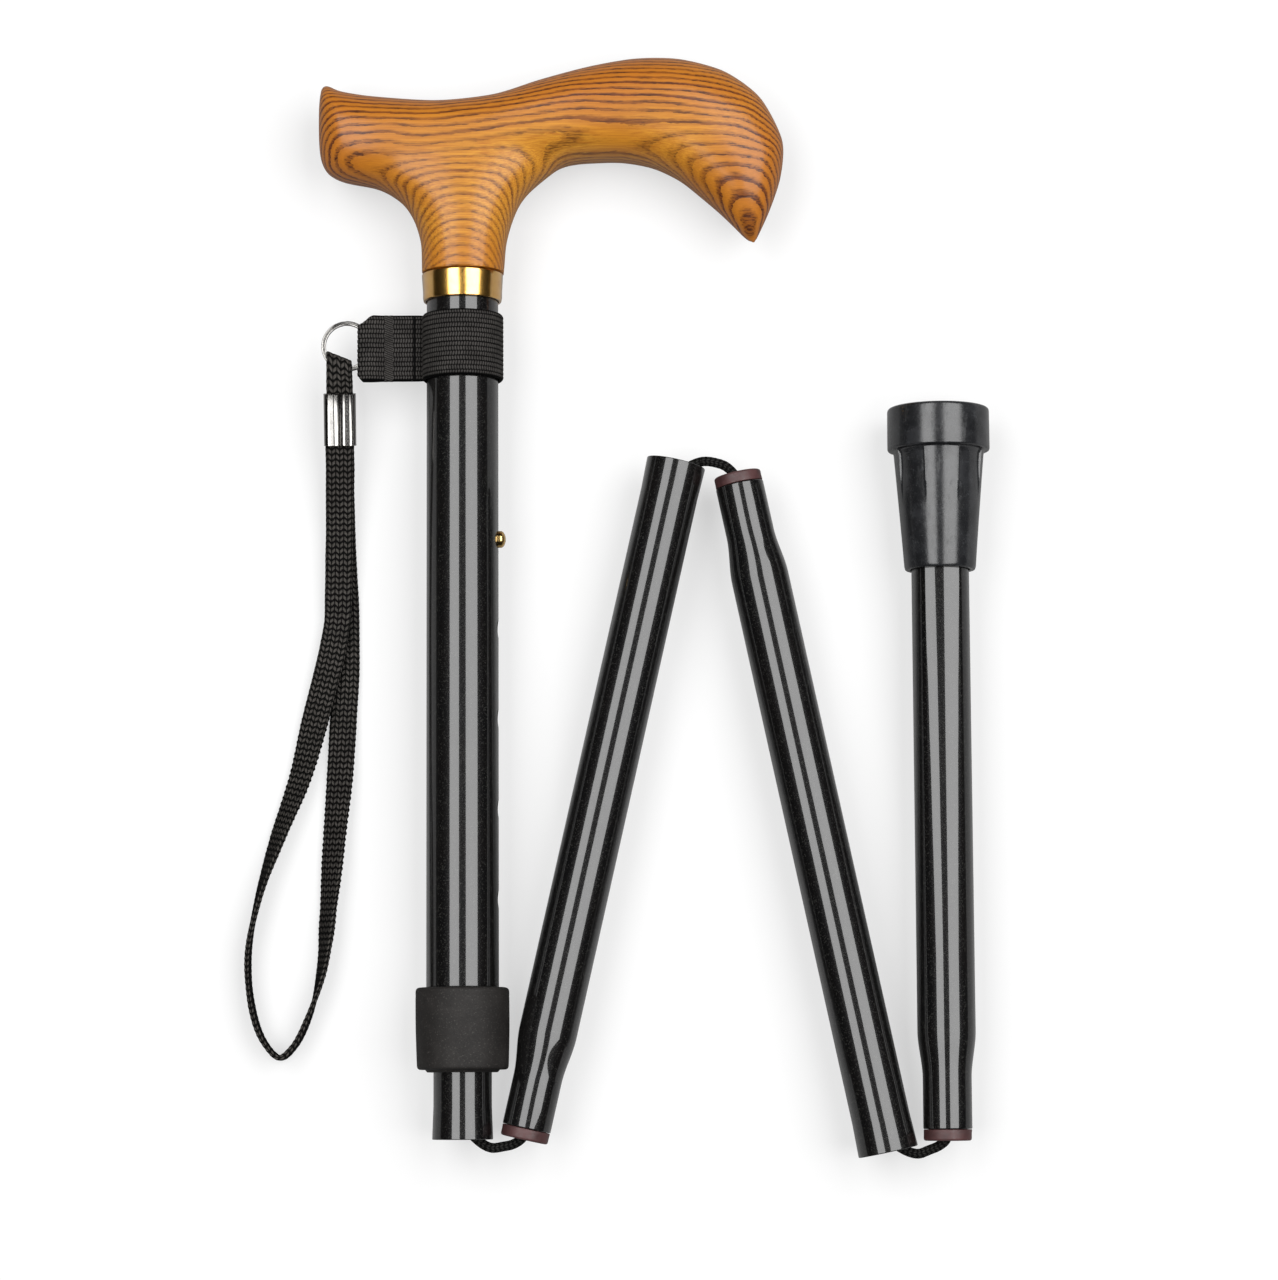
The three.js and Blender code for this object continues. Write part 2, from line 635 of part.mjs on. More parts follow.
part('cord_anchor_top', anchorShape(ANCHOR_Y), materials.blackPlastic, shaft);
part('cord_knot_top', knotShape(ANCHOR_Y), materials.shockCord, shaft);
part('cord_1', cordInside(EXIT_DEPTH + GAP, ANCHOR_Y + ANCHOR_LENGTH), materials.shockCord, shaft);

// A fold at the mouth of a section: the fold's own group, and the next section's group in it.
// mouth is a group at the centre of the parent's mouth with +Y pointing out of it.
function addFold(number, side, mouth) {
  const [opening, tipGap] = [OPENING[number - 1], TIP_GAP[number - 1]];
  const turn = -side * degrees(180 - opening);
  const axis = new THREE.Group();
  axis.name = `fold_${number}_axis`;
  axis.position.set(side * FOLD_OFFSET, FOLD_GAP, 0);
  mouth.add(axis);
  addFoldCord(number, side, turn, tipGap, axis, axis, axis);
  const folded = new THREE.Group();
  folded.rotation.z = turn;
  axis.add(folded);
  const section = new THREE.Group();
  section.name = `section_${number + 1}`;
  section.position.set(-side * FOLD_OFFSET, tipGap, 0);
  folded.add(section);
  return section;
}

function addMouth(section, y) {
  const mouth = new THREE.Group();
  mouth.position.y = y;
  section.add(mouth);
  return mouth;
}

const shaftMouth = addMouth(shaft, 0);
shaftMouth.rotation.z = Math.PI;

const section2 = addFold(1, -1, shaftMouth);
const section3 = addFold(2, 1, addMouth(section2, SECTION_LENGTH));
const section4 = addFold(3, -1, addMouth(section3, SECTION_LENGTH));

for (const [number, section] of [[2, section2], [3, section3]]) {
  part(`section_${number}_tube`, sectionTube(SECTION_LENGTH, true), materials.blackTube, section);
  part(`section_${number}_cap`, capShape(), materials.brownPlastic, section);
  part(`cord_${number}`, cordInside(CORD_DEPTH + GAP, SECTION_LENGTH - EXIT_DEPTH - GAP),
    materials.shockCord, section);
}

// The last section: its cord is knotted behind a plug, and a steel disc keeps the tube's end from
// cutting through the rubber tip.
const FOOT_TUBE = FOOT_LENGTH - 10.6;
part('section_4_tube', sectionTube(FOOT_TUBE, false), materials.blackTube, section4);
part('section_4_cap', capShape(), materials.brownPlastic, section4);
part('cord_4', cordInside(CORD_DEPTH + GAP, FOOT_ANCHOR + ANCHOR_LENGTH), materials.shockCord, section4);
part('cord_anchor_bottom', anchorShape(FOOT_ANCHOR), materials.blackPlastic, section4);
part('cord_knot_bottom', knotShape(FOOT_ANCHOR), materials.shockCord, section4);
part('tip_disc', rod(LOWER_R + 0.9, FOOT_TUBE + 0.3, FOOT_TUBE + 1.5), materials.steel, section4);
part('rubber_tip', ferruleShape(), materials.tipRubber, section4);

// ---------------------------------------------------------------- place on the floor

// The origin is under the middle of the cane without its wrist strap.
const CORD_PARTS = ['wrist_strap', 'strap_eye', 'strap_crimp'];
const bounds = new THREE.Box3();
cane.updateMatrixWorld(true);
cane.traverse((object) => {
  if (object.isMesh && !CORD_PARTS.includes(object.name)) bounds.expandByObject(object, true);
});
const middle = bounds.getCenter(new THREE.Vector3());
cane.position.set(-middle.x, -middle.y, -bounds.min.z);

export default cane;
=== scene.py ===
"""Looks of a folding walking cane with a derby handle, which lies part folded on a pale floor.

Local frames are in millimetres, with +Y along a tube; every mesh ends up in metres in the CAD model's frame.
"""
import json
import math

import bmesh
import bpy
import numpy as np
from mathutils import Matrix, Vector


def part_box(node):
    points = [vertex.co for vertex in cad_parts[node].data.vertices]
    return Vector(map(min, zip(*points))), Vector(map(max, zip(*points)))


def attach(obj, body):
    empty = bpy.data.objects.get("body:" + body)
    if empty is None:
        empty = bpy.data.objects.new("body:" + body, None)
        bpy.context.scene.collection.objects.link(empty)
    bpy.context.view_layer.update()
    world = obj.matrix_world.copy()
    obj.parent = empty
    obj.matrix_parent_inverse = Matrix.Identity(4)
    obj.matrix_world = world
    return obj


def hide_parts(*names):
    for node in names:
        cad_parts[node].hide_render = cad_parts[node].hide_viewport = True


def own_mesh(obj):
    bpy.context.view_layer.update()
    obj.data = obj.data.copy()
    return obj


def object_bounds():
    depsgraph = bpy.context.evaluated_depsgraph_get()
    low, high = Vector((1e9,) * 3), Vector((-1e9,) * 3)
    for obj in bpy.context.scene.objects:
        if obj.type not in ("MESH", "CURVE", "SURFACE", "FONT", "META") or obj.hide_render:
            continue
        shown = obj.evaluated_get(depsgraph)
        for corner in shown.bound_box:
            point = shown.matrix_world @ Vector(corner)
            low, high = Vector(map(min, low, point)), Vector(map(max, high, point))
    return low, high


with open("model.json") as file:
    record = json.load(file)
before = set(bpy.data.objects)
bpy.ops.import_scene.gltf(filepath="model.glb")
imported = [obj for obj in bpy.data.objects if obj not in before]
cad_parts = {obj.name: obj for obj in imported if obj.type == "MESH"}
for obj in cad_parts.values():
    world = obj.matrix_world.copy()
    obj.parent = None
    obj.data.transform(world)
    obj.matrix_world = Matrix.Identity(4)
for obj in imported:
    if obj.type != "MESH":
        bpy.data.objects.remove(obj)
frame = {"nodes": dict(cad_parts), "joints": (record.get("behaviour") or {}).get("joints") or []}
cad_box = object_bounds()

MM = 0.001
UP = np.array([0.0, 0.0, 1.0])
scene = bpy.context.scene

# ---- dimensions, in millimetres

UPPER_R, LOWER_R, WALL = 10.0, 8.0, 1.1
UPPER_FROM, UPPER_TO = 24.3, 240.5
SHAFT_LENGTH = 175.0
SECTION_LENGTH = 192.0
FOOT_LENGTH = 203.0
FOOT_TUBE = FOOT_LENGTH - 10.6
SWAGE_R, SWAGE_LENGTH, TAPER_LENGTH = 6.7, 19.5, 9.0
CAP_LENGTH = 3.2
FOLD_OFFSET, FOLD_GAP = 8.25, 0.4
OPENING = {1: 12.9, 2: 24.9, 3: 12.0}
TIP_GAP = {1: 2.2, 2: 3.5, 3: 1.6}
FOLD_SIDE = {1: -1, 2: 1, 3: -1}
HOLE_R, HOLE_PITCH, HOLE_COUNT, BUTTON_Y = 2.65, 25.0, 5, 165.8
COLLAR_FROM, COLLAR_TO = 233.0, 240.8
NECK_FROM = 241.1
SLEEVE_FROM, SLEEVE_TO, SLEEVE_R = 19.0, 41.5, 12.9
BAND_FROM, BAND_TO = 210.6, 229.2
RING_X, RING_Y, RING_R = -32.4, 220.6, 6.5
STRAP_X, STRAP_TILT = -34.5, 13.0
CRIMP_FROM, CRIMP_LENGTH = 7.2, 14.4
STRAP_WIDTH, STRAP_THICKNESS = 8.5, 2.0
CORD_R, CORD_DEPTH, EXIT_DEPTH = 1.3, 7.0, 14.5
FERRULE_FROM, FLANGE_FROM, FERRULE_R = 157.5, 191.0, 14.3


# ---- places

def placement(origin, along):
    """Matrix from a local frame in millimetres to the model's frame: +Y along, +Z up."""
    y = np.array(along, float) / np.linalg.norm(along)
    x = np.cross(y, UP)
    matrix = np.eye(4)
    matrix[:3, 0], matrix[:3, 1], matrix[:3, 2] = x * MM, y * MM, UP * MM
    matrix[:3, 3] = origin
    return matrix


def joint(name):
    return next(j for j in frame["joints"] if j["name"] == name)


def rotated(vector, angle):
    c, s = math.cos(angle), math.sin(angle)
    return np.array([c * vector[0] - s * vector[1], s * vector[0] + c * vector[1], vector[2]])


tube_low, tube_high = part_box("upper_tube")
axis_x, axis_z = (tube_low.x + tube_high.x) / 2, (tube_low.z + tube_high.z) / 2
UPPER = placement((axis_x, tube_low.y - UPPER_FROM * MM, axis_z), (0, 1, 0))


def section_place(number):
    """The frame of folding section 2, 3 or 4: its swaged tip at the origin, its tube along +Y."""
    fold = number - 1
    along = -np.array(joint(f"seat_{fold}")["axis"], float)
    place = placement(joint(f"unfold_{fold}")["pos_m"], along)
    shift = np.array([-FOLD_SIDE[fold] * FOLD_OFFSET, TIP_GAP[fold], 0, 1])
    place[:3, 3] = (place @ shift)[:3]
    return place


SECTION = {number: section_place(number) for number in (2, 3, 4)}
FLOOR_Z = cad_box[0][2]


# ---- curves

def catmull_rom(points, samples, tension=None):
    """Points along a smooth curve through the given rows: centripetal, or uniform with a tension."""
    p = np.array(points, float)
    p = np.vstack([2 * p[0] - p[1], p, 2 * p[-1] - p[-2]])
    out = []
    spans = len(p) - 3
    for t in np.linspace(0, spans, samples):
        i = min(int(t), spans - 1)
        f = t - i
        a, b, c, d = p[i:i + 4]
        if tension is None:
            gaps = [max(np.linalg.norm(q[:3] - r[:3]), 1e-9) ** 0.5 for q, r in ((b, a), (c, b), (d, c))]
            m1 = (b - a) / gaps[0] - (c - a) / (gaps[0] + gaps[1]) + (c - b) / gaps[1]
            m2 = (c - b) / gaps[1] - (d - b) / (gaps[1] + gaps[2]) + (d - c) / gaps[2]
            m1, m2 = m1 * gaps[1], m2 * gaps[1]
        else:
            m1, m2 = (c - a) * tension, (d - b) * tension
        out.append((2 * f**3 - 3 * f**2 + 1) * b + (f**3 - 2 * f**2 + f) * m1
                   + (3 * f**2 - 2 * f**3) * c + (f**3 - f**2) * m2)
    return np.array(out)


def arc_lengths(points):
    return np.concatenate([[0], np.cumsum(np.linalg.norm(np.diff(points[:, :3], axis=0), axis=1))])


def evenly(points, count, start=0.0, stop=1.0):
    """count rows at even steps of length between two shares of a polyline's length."""
    lengths = arc_lengths(points)
    at = np.linspace(start * lengths[-1], stop * lengths[-1], count)
    return np.column_stack([np.interp(at, lengths, column) for column in points.T])


def tangents(points, closed=False):
    if closed:
        t = np.roll(points, -1, axis=0) - np.roll(points, 1, axis=0)
    else:
        t = np.gradient(points, axis=0)
    return t / np.linalg.norm(t, axis=1)[:, None]


def rounded(corners, steps=6):
    """A polyline of (a, b) points whose corners with a third number are rounded to that radius."""
    out = []
    for i, corner in enumerate(corners):
        radius = corner[2] if len(corner) > 2 else 0
        here = np.array(corner[:2], float)
        if radius <= 0 or i in (0, len(corners) - 1):
            out.append(here)
            continue
        before, after = (np.array(corners[j][:2], float) - here for j in (i - 1, i + 1))
        la, lb = np.linalg.norm(before), np.linalg.norm(after)
        before, after = before / la, after / lb
        half = math.acos(np.clip(before @ after, -1, 1)) / 2
        reach = min(radius / math.tan(half), 0.49 * la, 0.49 * lb)
        start, end = here + before * reach, here + after * reach
        for t in np.linspace(0, 1, steps + 1):
            out.append((1 - t)**2 * start + 2 * t * (1 - t) * here + t * t * end)
    return np.array(out)


def smoothstep(low, high, value):
    t = np.clip((np.asarray(value, float) - low) / (high - low), 0, 1)
    return t * t * (3 - 2 * t)


# ---- meshes

def new_object(name, mesh):
    piece = bpy.data.objects.new(name, mesh)
    scene.collection.objects.link(piece)
    return piece


def finish_mesh(mesh, sharp=35):
    mesh.validate()
    mesh.shade_smooth()
    mesh.set_sharp_from_angle(angle=math.radians(sharp))
    mesh.update()


def grid_faces(rows, columns, closed):
    """Faces of a grid of points whose columns go all round, and its rows too where it is closed."""
    r, c = np.meshgrid(np.arange(rows if closed else rows - 1), np.arange(columns), indexing="ij")
    r2, c2 = (r + 1) % rows, (c + 1) % columns
    faces = np.stack([r * columns + c, r2 * columns + c, r2 * columns + c2, r * columns + c2], axis=-1)
    return faces.reshape(-1, 4)


def end_caps(rows, columns):
    return range(columns - 1, -1, -1), range((rows - 1) * columns, rows * columns)


def mesh_from(name, vertices, faces, place=None, sharp=35, caps=()):
    vertices = np.asarray(vertices, float).reshape(-1, 3)
    if place is not None:
        vertices = vertices @ place[:3, :3].T + place[:3, 3]
    mesh = bpy.data.meshes.new(name)
    mesh.from_pydata(vertices.tolist(), [], [list(f) for f in faces] + [list(c) for c in caps])
    finish_mesh(mesh, sharp)
    piece = new_object(name, mesh)
    outward(piece)
    return piece


def outward(piece):
    """Faces point out: the signed volume of a closed mesh is positive."""
    mesh = piece.data
    mesh.calc_loop_triangles()
    co = np.array([v.co for v in mesh.vertices])
    tri = np.array([t.vertices for t in mesh.loop_triangles])
    a, b, c = co[tri[:, 0]], co[tri[:, 1]], co[tri[:, 2]]
    if np.einsum("ij,ij->", a, np.cross(b, c)) < 0:
        mesh.flip_normals()


def lathe(name, profile, place, sides=96, shape=None, sharp=35):
    """A closed profile of (radius, height) points turned about Y; shape(r, y, angle) may change r."""
    profile = np.array(profile, float)
    angle = np.arange(sides) * 2 * math.pi / sides
    r, y = np.meshgrid(profile[:, 0], angle, indexing="ij")[0], np.repeat(profile[:, 1:2], sides, axis=1)
    around = np.repeat(angle[None, :], len(profile), axis=0)
    if shape is not None:
        r = shape(r, y, around)
    points = np.stack([r * np.cos(around), y, r * np.sin(around)], axis=-1)
    piece = mesh_from(name, points, grid_faces(len(profile), sides, True), place, sharp)
    if profile[:, 0].min() < 1e-6:
        merge_close(piece)
        finish_mesh(piece.data, sharp)
    return piece


def merge_close(piece):
    distance = 1e-7
    bm = bmesh.new()
    bm.from_mesh(piece.data)
    bmesh.ops.remove_doubles(bm, verts=bm.verts, dist=distance)
    bmesh.ops.dissolve_degenerate(bm, edges=bm.edges, dist=distance)
    bm.to_mesh(piece.data)
    bm.free()


def sweep(name, centres, sides_x, sides_y, section, place=None, lift=None):
    """A closed section moved along centres; sides_x and sides_y are the section's two directions.

    lift(u, v) is how far the surface stands out, and its share of the relief, from the share round the
    section and the length along.
    """
    section = np.array(section, float)
    n, m = len(centres), len(section)
    outline = np.einsum("ma,nak->nmk", section, np.stack([sides_x, sides_y], axis=1))
    points = centres[:, None, :] + outline
    if lift is not None:
        edge = np.roll(section, -1, axis=0) - np.roll(section, 1, axis=0)
        normal = np.stack([edge[:, 1], -edge[:, 0]], axis=1)
        normal /= np.linalg.norm(normal, axis=1)[:, None]
        gaps = np.linalg.norm(np.roll(section, -1, axis=0) - section, axis=1)
        share = np.concatenate([[0], np.cumsum(gaps)[:-1]]) / gaps.sum()
        along = arc_lengths(centres)
        height, relief = lift(share[None, :], along[:, None])
        outward_3d = np.einsum("ma,nak->nmk", normal, np.stack([sides_x, sides_y], axis=1))
        points = points + outward_3d * height[..., None]
    piece = mesh_from(name, points, grid_faces(n, m, False), place, 60, end_caps(n, m))
    if lift is not None:
        store_relief(piece, relief)
    return piece


def store_relief(piece, relief):
    """Keeps how high each point of a braid or webbing stands, 0 to 1, for its material, which paints shade where
    it is low.
    """
    layer = piece.data.attributes.new("relief", "FLOAT", "POINT")
    layer.data.foreach_set("value", np.ravel(relief).astype(np.float32))


def circle(r, count):
    angle = np.arange(count) * 2 * math.pi / count
    return np.stack([r * np.cos(angle), -r * np.sin(angle)], axis=1)


def stadium(width, height, count, radius=None):
    """A rounded rectangle as count points at even steps, clockwise from the middle of its right side."""
    r = min(width, height) / 2 - 1e-3 if radius is None else radius
    w, h = width / 2, height / 2
    corners = [(w, 0), (w, -h, r), (-w, -h, r), (-w, h, r), (w, h, r), (w, 0)]
    line = rounded(corners, 10)
    return evenly(line, count + 1)[:-1]


def flat_frames(centres, turn=None):
    """Section directions along a path: level across it, and up; both turned about it by degrees."""
    t = tangents(centres)
    level = np.cross(UP, t)
    level /= np.linalg.norm(level, axis=1)[:, None]
    lift = np.cross(t, level)
    if turn is None:
        return level, lift
    c, s = np.cos(np.radians(turn))[:, None], np.sin(np.radians(turn))[:, None]
    return c * level + s * lift, c * lift - s * level


def cut_with(piece, cutter):
    modifier = piece.modifiers.new("cut", "BOOLEAN")
    modifier.object = cutter
    modifier.operation = "DIFFERENCE"
    modifier.solver = "EXACT"
    applied(piece)
    bpy.data.objects.remove(cutter)


def applied(piece):
    """Replaces a piece's mesh by the mesh that its modifiers make."""
    bpy.context.view_layer.update()
    graph = bpy.context.evaluated_depsgraph_get()
    mesh = bpy.data.meshes.new_from_object(piece.evaluated_get(graph))
    piece.modifiers.clear()
    piece.data = mesh


def bevelled(piece, width, segments=3, angle=35):
    modifier = piece.modifiers.new("edges", "BEVEL")
    modifier.width = width * MM
    modifier.segments = segments
    modifier.limit_method = "ANGLE"
    modifier.angle_limit = math.radians(angle)
    applied(piece)
    finish_mesh(piece.data, angle)


def extruded(name, outline, low, high, place, bevel=0.0):
    """An outline of (x, z) points drawn out along Y."""
    outline = np.array(outline, float)
    n = len(outline)
    ends = [np.column_stack([outline[:, 0], np.full(n, y), outline[:, 1]]) for y in (low, high)]
    piece = mesh_from(name, np.vstack(ends), grid_faces(2, n, False), place, 35, end_caps(2, n))
    if bevel:
        bevelled(piece, bevel)
    return piece


# ---- camera

def add_camera():
    view = bpy.data.cameras.new("camera")
    view.lens = 111.3
    view.clip_end = 20
    tilt, lean = math.radians(6.5), math.radians(0.30)
    forward = np.array([0, math.sin(tilt), -math.cos(tilt)])
    upright = np.array([0, math.cos(tilt), math.sin(tilt)])
    up = math.cos(lean) * upright + math.sin(lean) * np.array([1.0, 0, 0])
    right = np.cross(forward, up)
    matrix = np.eye(4)
    matrix[:3, 0], matrix[:3, 1], matrix[:3, 2] = right, up, -forward
    matrix[:3, 3] = (UPPER @ np.array([49.0, 13.0, 1092.0, 1]))[:3]
    camera = bpy.data.objects.new("camera", view)
    scene.collection.objects.link(camera)
    camera.matrix_world = Matrix(matrix.tolist())
    scene.camera = camera


add_camera()


# ---- node materials

class Finish:
    """A node material: node() adds a node, and its inputs are numbers, colours or other nodes' outputs."""

    def __init__(self, name, **surface):
        self.material = bpy.data.materials.new(name)
        self.material.use_nodes = True
        self.tree = self.material.node_tree
        self.surface = self.tree.nodes["Principled BSDF"]
        self.feed(self.surface, surface)

    def feed(self, node, inputs):
        for key, value in inputs.items():
            socket = node.inputs[key.replace("_", " ") if isinstance(key, str) else key]
            if isinstance(value, bpy.types.NodeSocket):
                self.tree.links.new(value, socket)
            elif hasattr(value, "__len__") and socket.type == "RGBA" and len(value) == 3:
                socket.default_value = (*value, 1)
            else:
                socket.default_value = value

    def node(self, kind, inputs=None, output=0, **settings):
        node = self.tree.nodes.new("ShaderNode" + kind)
        for key, value in settings.items():
            setattr(node, key, value)
        self.feed(node, inputs or {})
        return node.outputs[output]

    def place(self, scale=(1, 1, 1), shift=(0, 0, 0)):
        """The piece's own coordinates in millimetres, moved and then scaled."""
        coordinates = self.node("TexCoord", output="Object")
        moved = self.node("VectorMath", {0: coordinates, 1: shift}, operation="ADD")
        factors = tuple(s / MM for s in scale)
        return self.node("VectorMath", {0: moved, 1: factors}, operation="MULTIPLY")

    def noise(self, scale=1.0, detail=2.0, rough=0.5, stretch=(1, 1, 1)):
        vector = self.place(tuple(scale * s for s in stretch))
        return self.node("TexNoise", {"Vector": vector, "Scale": 1.0, "Detail": detail, "Roughness": rough},
                         output="Fac")

    def math(self, operation, a, b=0.0, c=0.0):
        return self.node("Math", {0: a, 1: b, 2: c}, operation=operation)

    def spread(self, value, low, high, to_low=0.0, to_high=1.0):
        return self.node("MapRange", {0: value, 1: low, 2: high, 3: to_low, 4: to_high},
                         interpolation_type="SMOOTHSTEP", clamp=True)

    def mix(self, factor, a, b):
        node = self.tree.nodes.new("ShaderNodeMix")
        node.data_type = "RGBA"
        node.clamp_factor = True
        self.feed(node, {0: factor, 6: a, 7: b})
        return node.outputs[2]

    def bump(self, height, strength, distance):
        return self.node("Bump", {"Height": height, "Strength": strength, "Distance": distance * MM})

    def use(self, **inputs):
        self.feed(self.surface, inputs)
        return self.material


def black_tube_finish():
    f = Finish("black_tube", Metallic=0.0, IOR=1.5, Specular_IOR_Level=0.15, Coat_Weight=1.0, Coat_Roughness=0.05,
               Coat_IOR=1.56)
    cloud = f.spread(f.noise(0.05, 3, 0.6), 0.3, 0.7)
    flakes = f.node("TexVoronoi", {"Vector": f.place((3.2, 3.2, 3.2)), "Scale": 1.0}, output="Color",
                    feature="F1")
    spark = f.spread(f.node("SeparateColor", {0: flakes}, output=0), 0.80, 1.0)
    base = f.mix(spark, (0.0030, 0.0030, 0.0032), (0.022, 0.022, 0.020))
    base = f.mix(f.math("MULTIPLY", cloud, 0.35), base, (0.0060, 0.0046, 0.0040))
    rub = f.spread(f.noise(0.7, 4, 0.7, (1, 0.12, 1)), 0.58, 0.75)
    f.use(Base_Color=base, Roughness=f.math("MULTIPLY_ADD", rub, 0.10, 0.30))
    f.use(Normal=f.bump(f.node("SeparateColor", {0: flakes}, output=1), 0.25, 0.04))
    return f.use(Coat_Normal=f.bump(f.noise(2.6, 2, 0.6), 0.08, 0.010))


def metal_finish(name, color, roughness, scuff=0.08, grain=(1, 1, 1), dents=0.08):
    f = Finish(name, Metallic=1.0, IOR=1.5)
    cloud = f.noise(0.35, 4, 0.6)
    fine = f.noise(3.5, 3, 0.6, grain)
    shade = f.mix(f.spread(cloud, 0.35, 0.75), color, tuple(0.75 * c for c in color))
    rough = f.math("MULTIPLY_ADD", f.spread(fine, 0.35, 0.8), scuff, roughness)
    return f.use(Base_Color=shade, Roughness=rough, Normal=f.bump(fine, dents, 0.02))


def gold_finish():
    """Gold coloured base under a clear, shiny lacquer."""
    f = Finish("gold_metal", Metallic=1.0, IOR=1.5, Coat_Weight=1.0, Coat_Roughness=0.05, Coat_IOR=1.6)
    cloud = f.spread(f.noise(0.35, 4, 0.6), 0.35, 0.75)
    fine = f.noise(3.5, 3, 0.6, (1, 3, 1))
    shade = f.mix(cloud, (0.86, 0.50, 0.13), (0.76, 0.40, 0.09))
    rough = f.math("MULTIPLY_ADD", f.spread(fine, 0.35, 0.8), 0.08, 0.19)
    return f.use(Base_Color=shade, Roughness=rough, Normal=f.bump(fine, 0.08, 0.02))


def plastic_finish(name, color, roughness, lighter=1.6, grain=1.2, strength=0.25):
    f = Finish(name, IOR=1.5)
    cloud = f.noise(0.25, 4, 0.6)
    fine = f.noise(grain, 4, 0.65)
    shade = f.mix(f.spread(cloud, 0.35, 0.7), color, tuple(min(1, c * lighter) for c in color))
    rough = f.math("MULTIPLY_ADD", f.spread(fine, 0.3, 0.75), 0.18, roughness)
    return f.use(Base_Color=shade, Roughness=rough, Normal=f.bump(fine, strength, 0.08))


def sleeve_finish():
    f = Finish("sleeve_rubber", IOR=1.5, Specular_IOR_Level=0.22)
    pores = f.node("TexVoronoi", {"Vector": f.place((1.5, 1.5, 1.5)), "Scale": 1.0}, output="Distance")
    dust = f.spread(f.noise(2.2, 3, 0.7), 0.57, 0.70)
    cloud = f.spread(f.noise(0.14, 3, 0.6), 0.35, 0.7)
    shade = f.mix(cloud, (0.0110, 0.0098, 0.0092), (0.0170, 0.0152, 0.0142))
    shade = f.mix(f.math("MULTIPLY", dust, 0.50), shade, (0.085, 0.080, 0.072))
    skin = f.noise(1.4, 4, 0.65)
    normal = f.bump(f.math("ADD", skin, f.spread(pores, 0.0, 0.28)), 0.35, 0.09)
    return f.use(Base_Color=shade, Roughness=f.math("MULTIPLY_ADD", skin, 0.25, 0.52), Normal=normal)


def tip_finish():
    f = Finish("tip_rubber", IOR=1.55)
    cloud = f.spread(f.noise(0.16, 5, 0.65), 0.38, 0.66)
    blotch = f.spread(f.noise(0.42, 5, 0.75), 0.56, 0.72)
    rub = f.spread(f.noise(0.45, 5, 0.7, (1, 0.35, 1)), 0.50, 0.75)
    speck = f.spread(f.noise(2.6, 3, 0.7), 0.60, 0.74)
    shade = f.mix(cloud, (0.0095, 0.0098, 0.0108), (0.0210, 0.0216, 0.0235))
    shade = f.mix(f.math("MULTIPLY", blotch, 0.6), shade, (0.046, 0.048, 0.052))
    shade = f.mix(f.math("MULTIPLY", speck, 0.5), shade, (0.090, 0.090, 0.090))
    rough = f.math("MULTIPLY_ADD", rub, 0.22, 0.21)
    return f.use(Base_Color=shade, Roughness=rough, Normal=f.bump(f.noise(1.1, 5, 0.6), 0.22, 0.08))


def yarn_finish(name, painted_groove_shade, light, rough=0.85, fibre=5.0):
    """Braid and webbing: painted shade in the grooves of the surface's own relief, and the yarn's own colour on
    its ridges.
    """
    f = Finish(name, Roughness=rough, IOR=1.45, Specular_IOR_Level=0.06)
    # ridge is the mask of painted shade: where the relief is low, in the grooves, the colour turns to the painted
    # groove shade
    ridge = f.spread(f.node("Attribute", output="Fac", attribute_name="relief"), 0.25, 0.90)
    fibres = f.noise(fibre, 4, 0.7)
    worn = f.spread(f.noise(0.2, 3, 0.6), 0.3, 0.7, 0.75, 1.1)
    amount = f.math("MULTIPLY", f.math("MULTIPLY", ridge, worn), f.spread(fibres, 0.25, 0.75, 0.45, 1.25))
    return f.use(Base_Color=f.mix(amount, painted_groove_shade, light), Normal=f.bump(fibres, 0.45, 0.08))


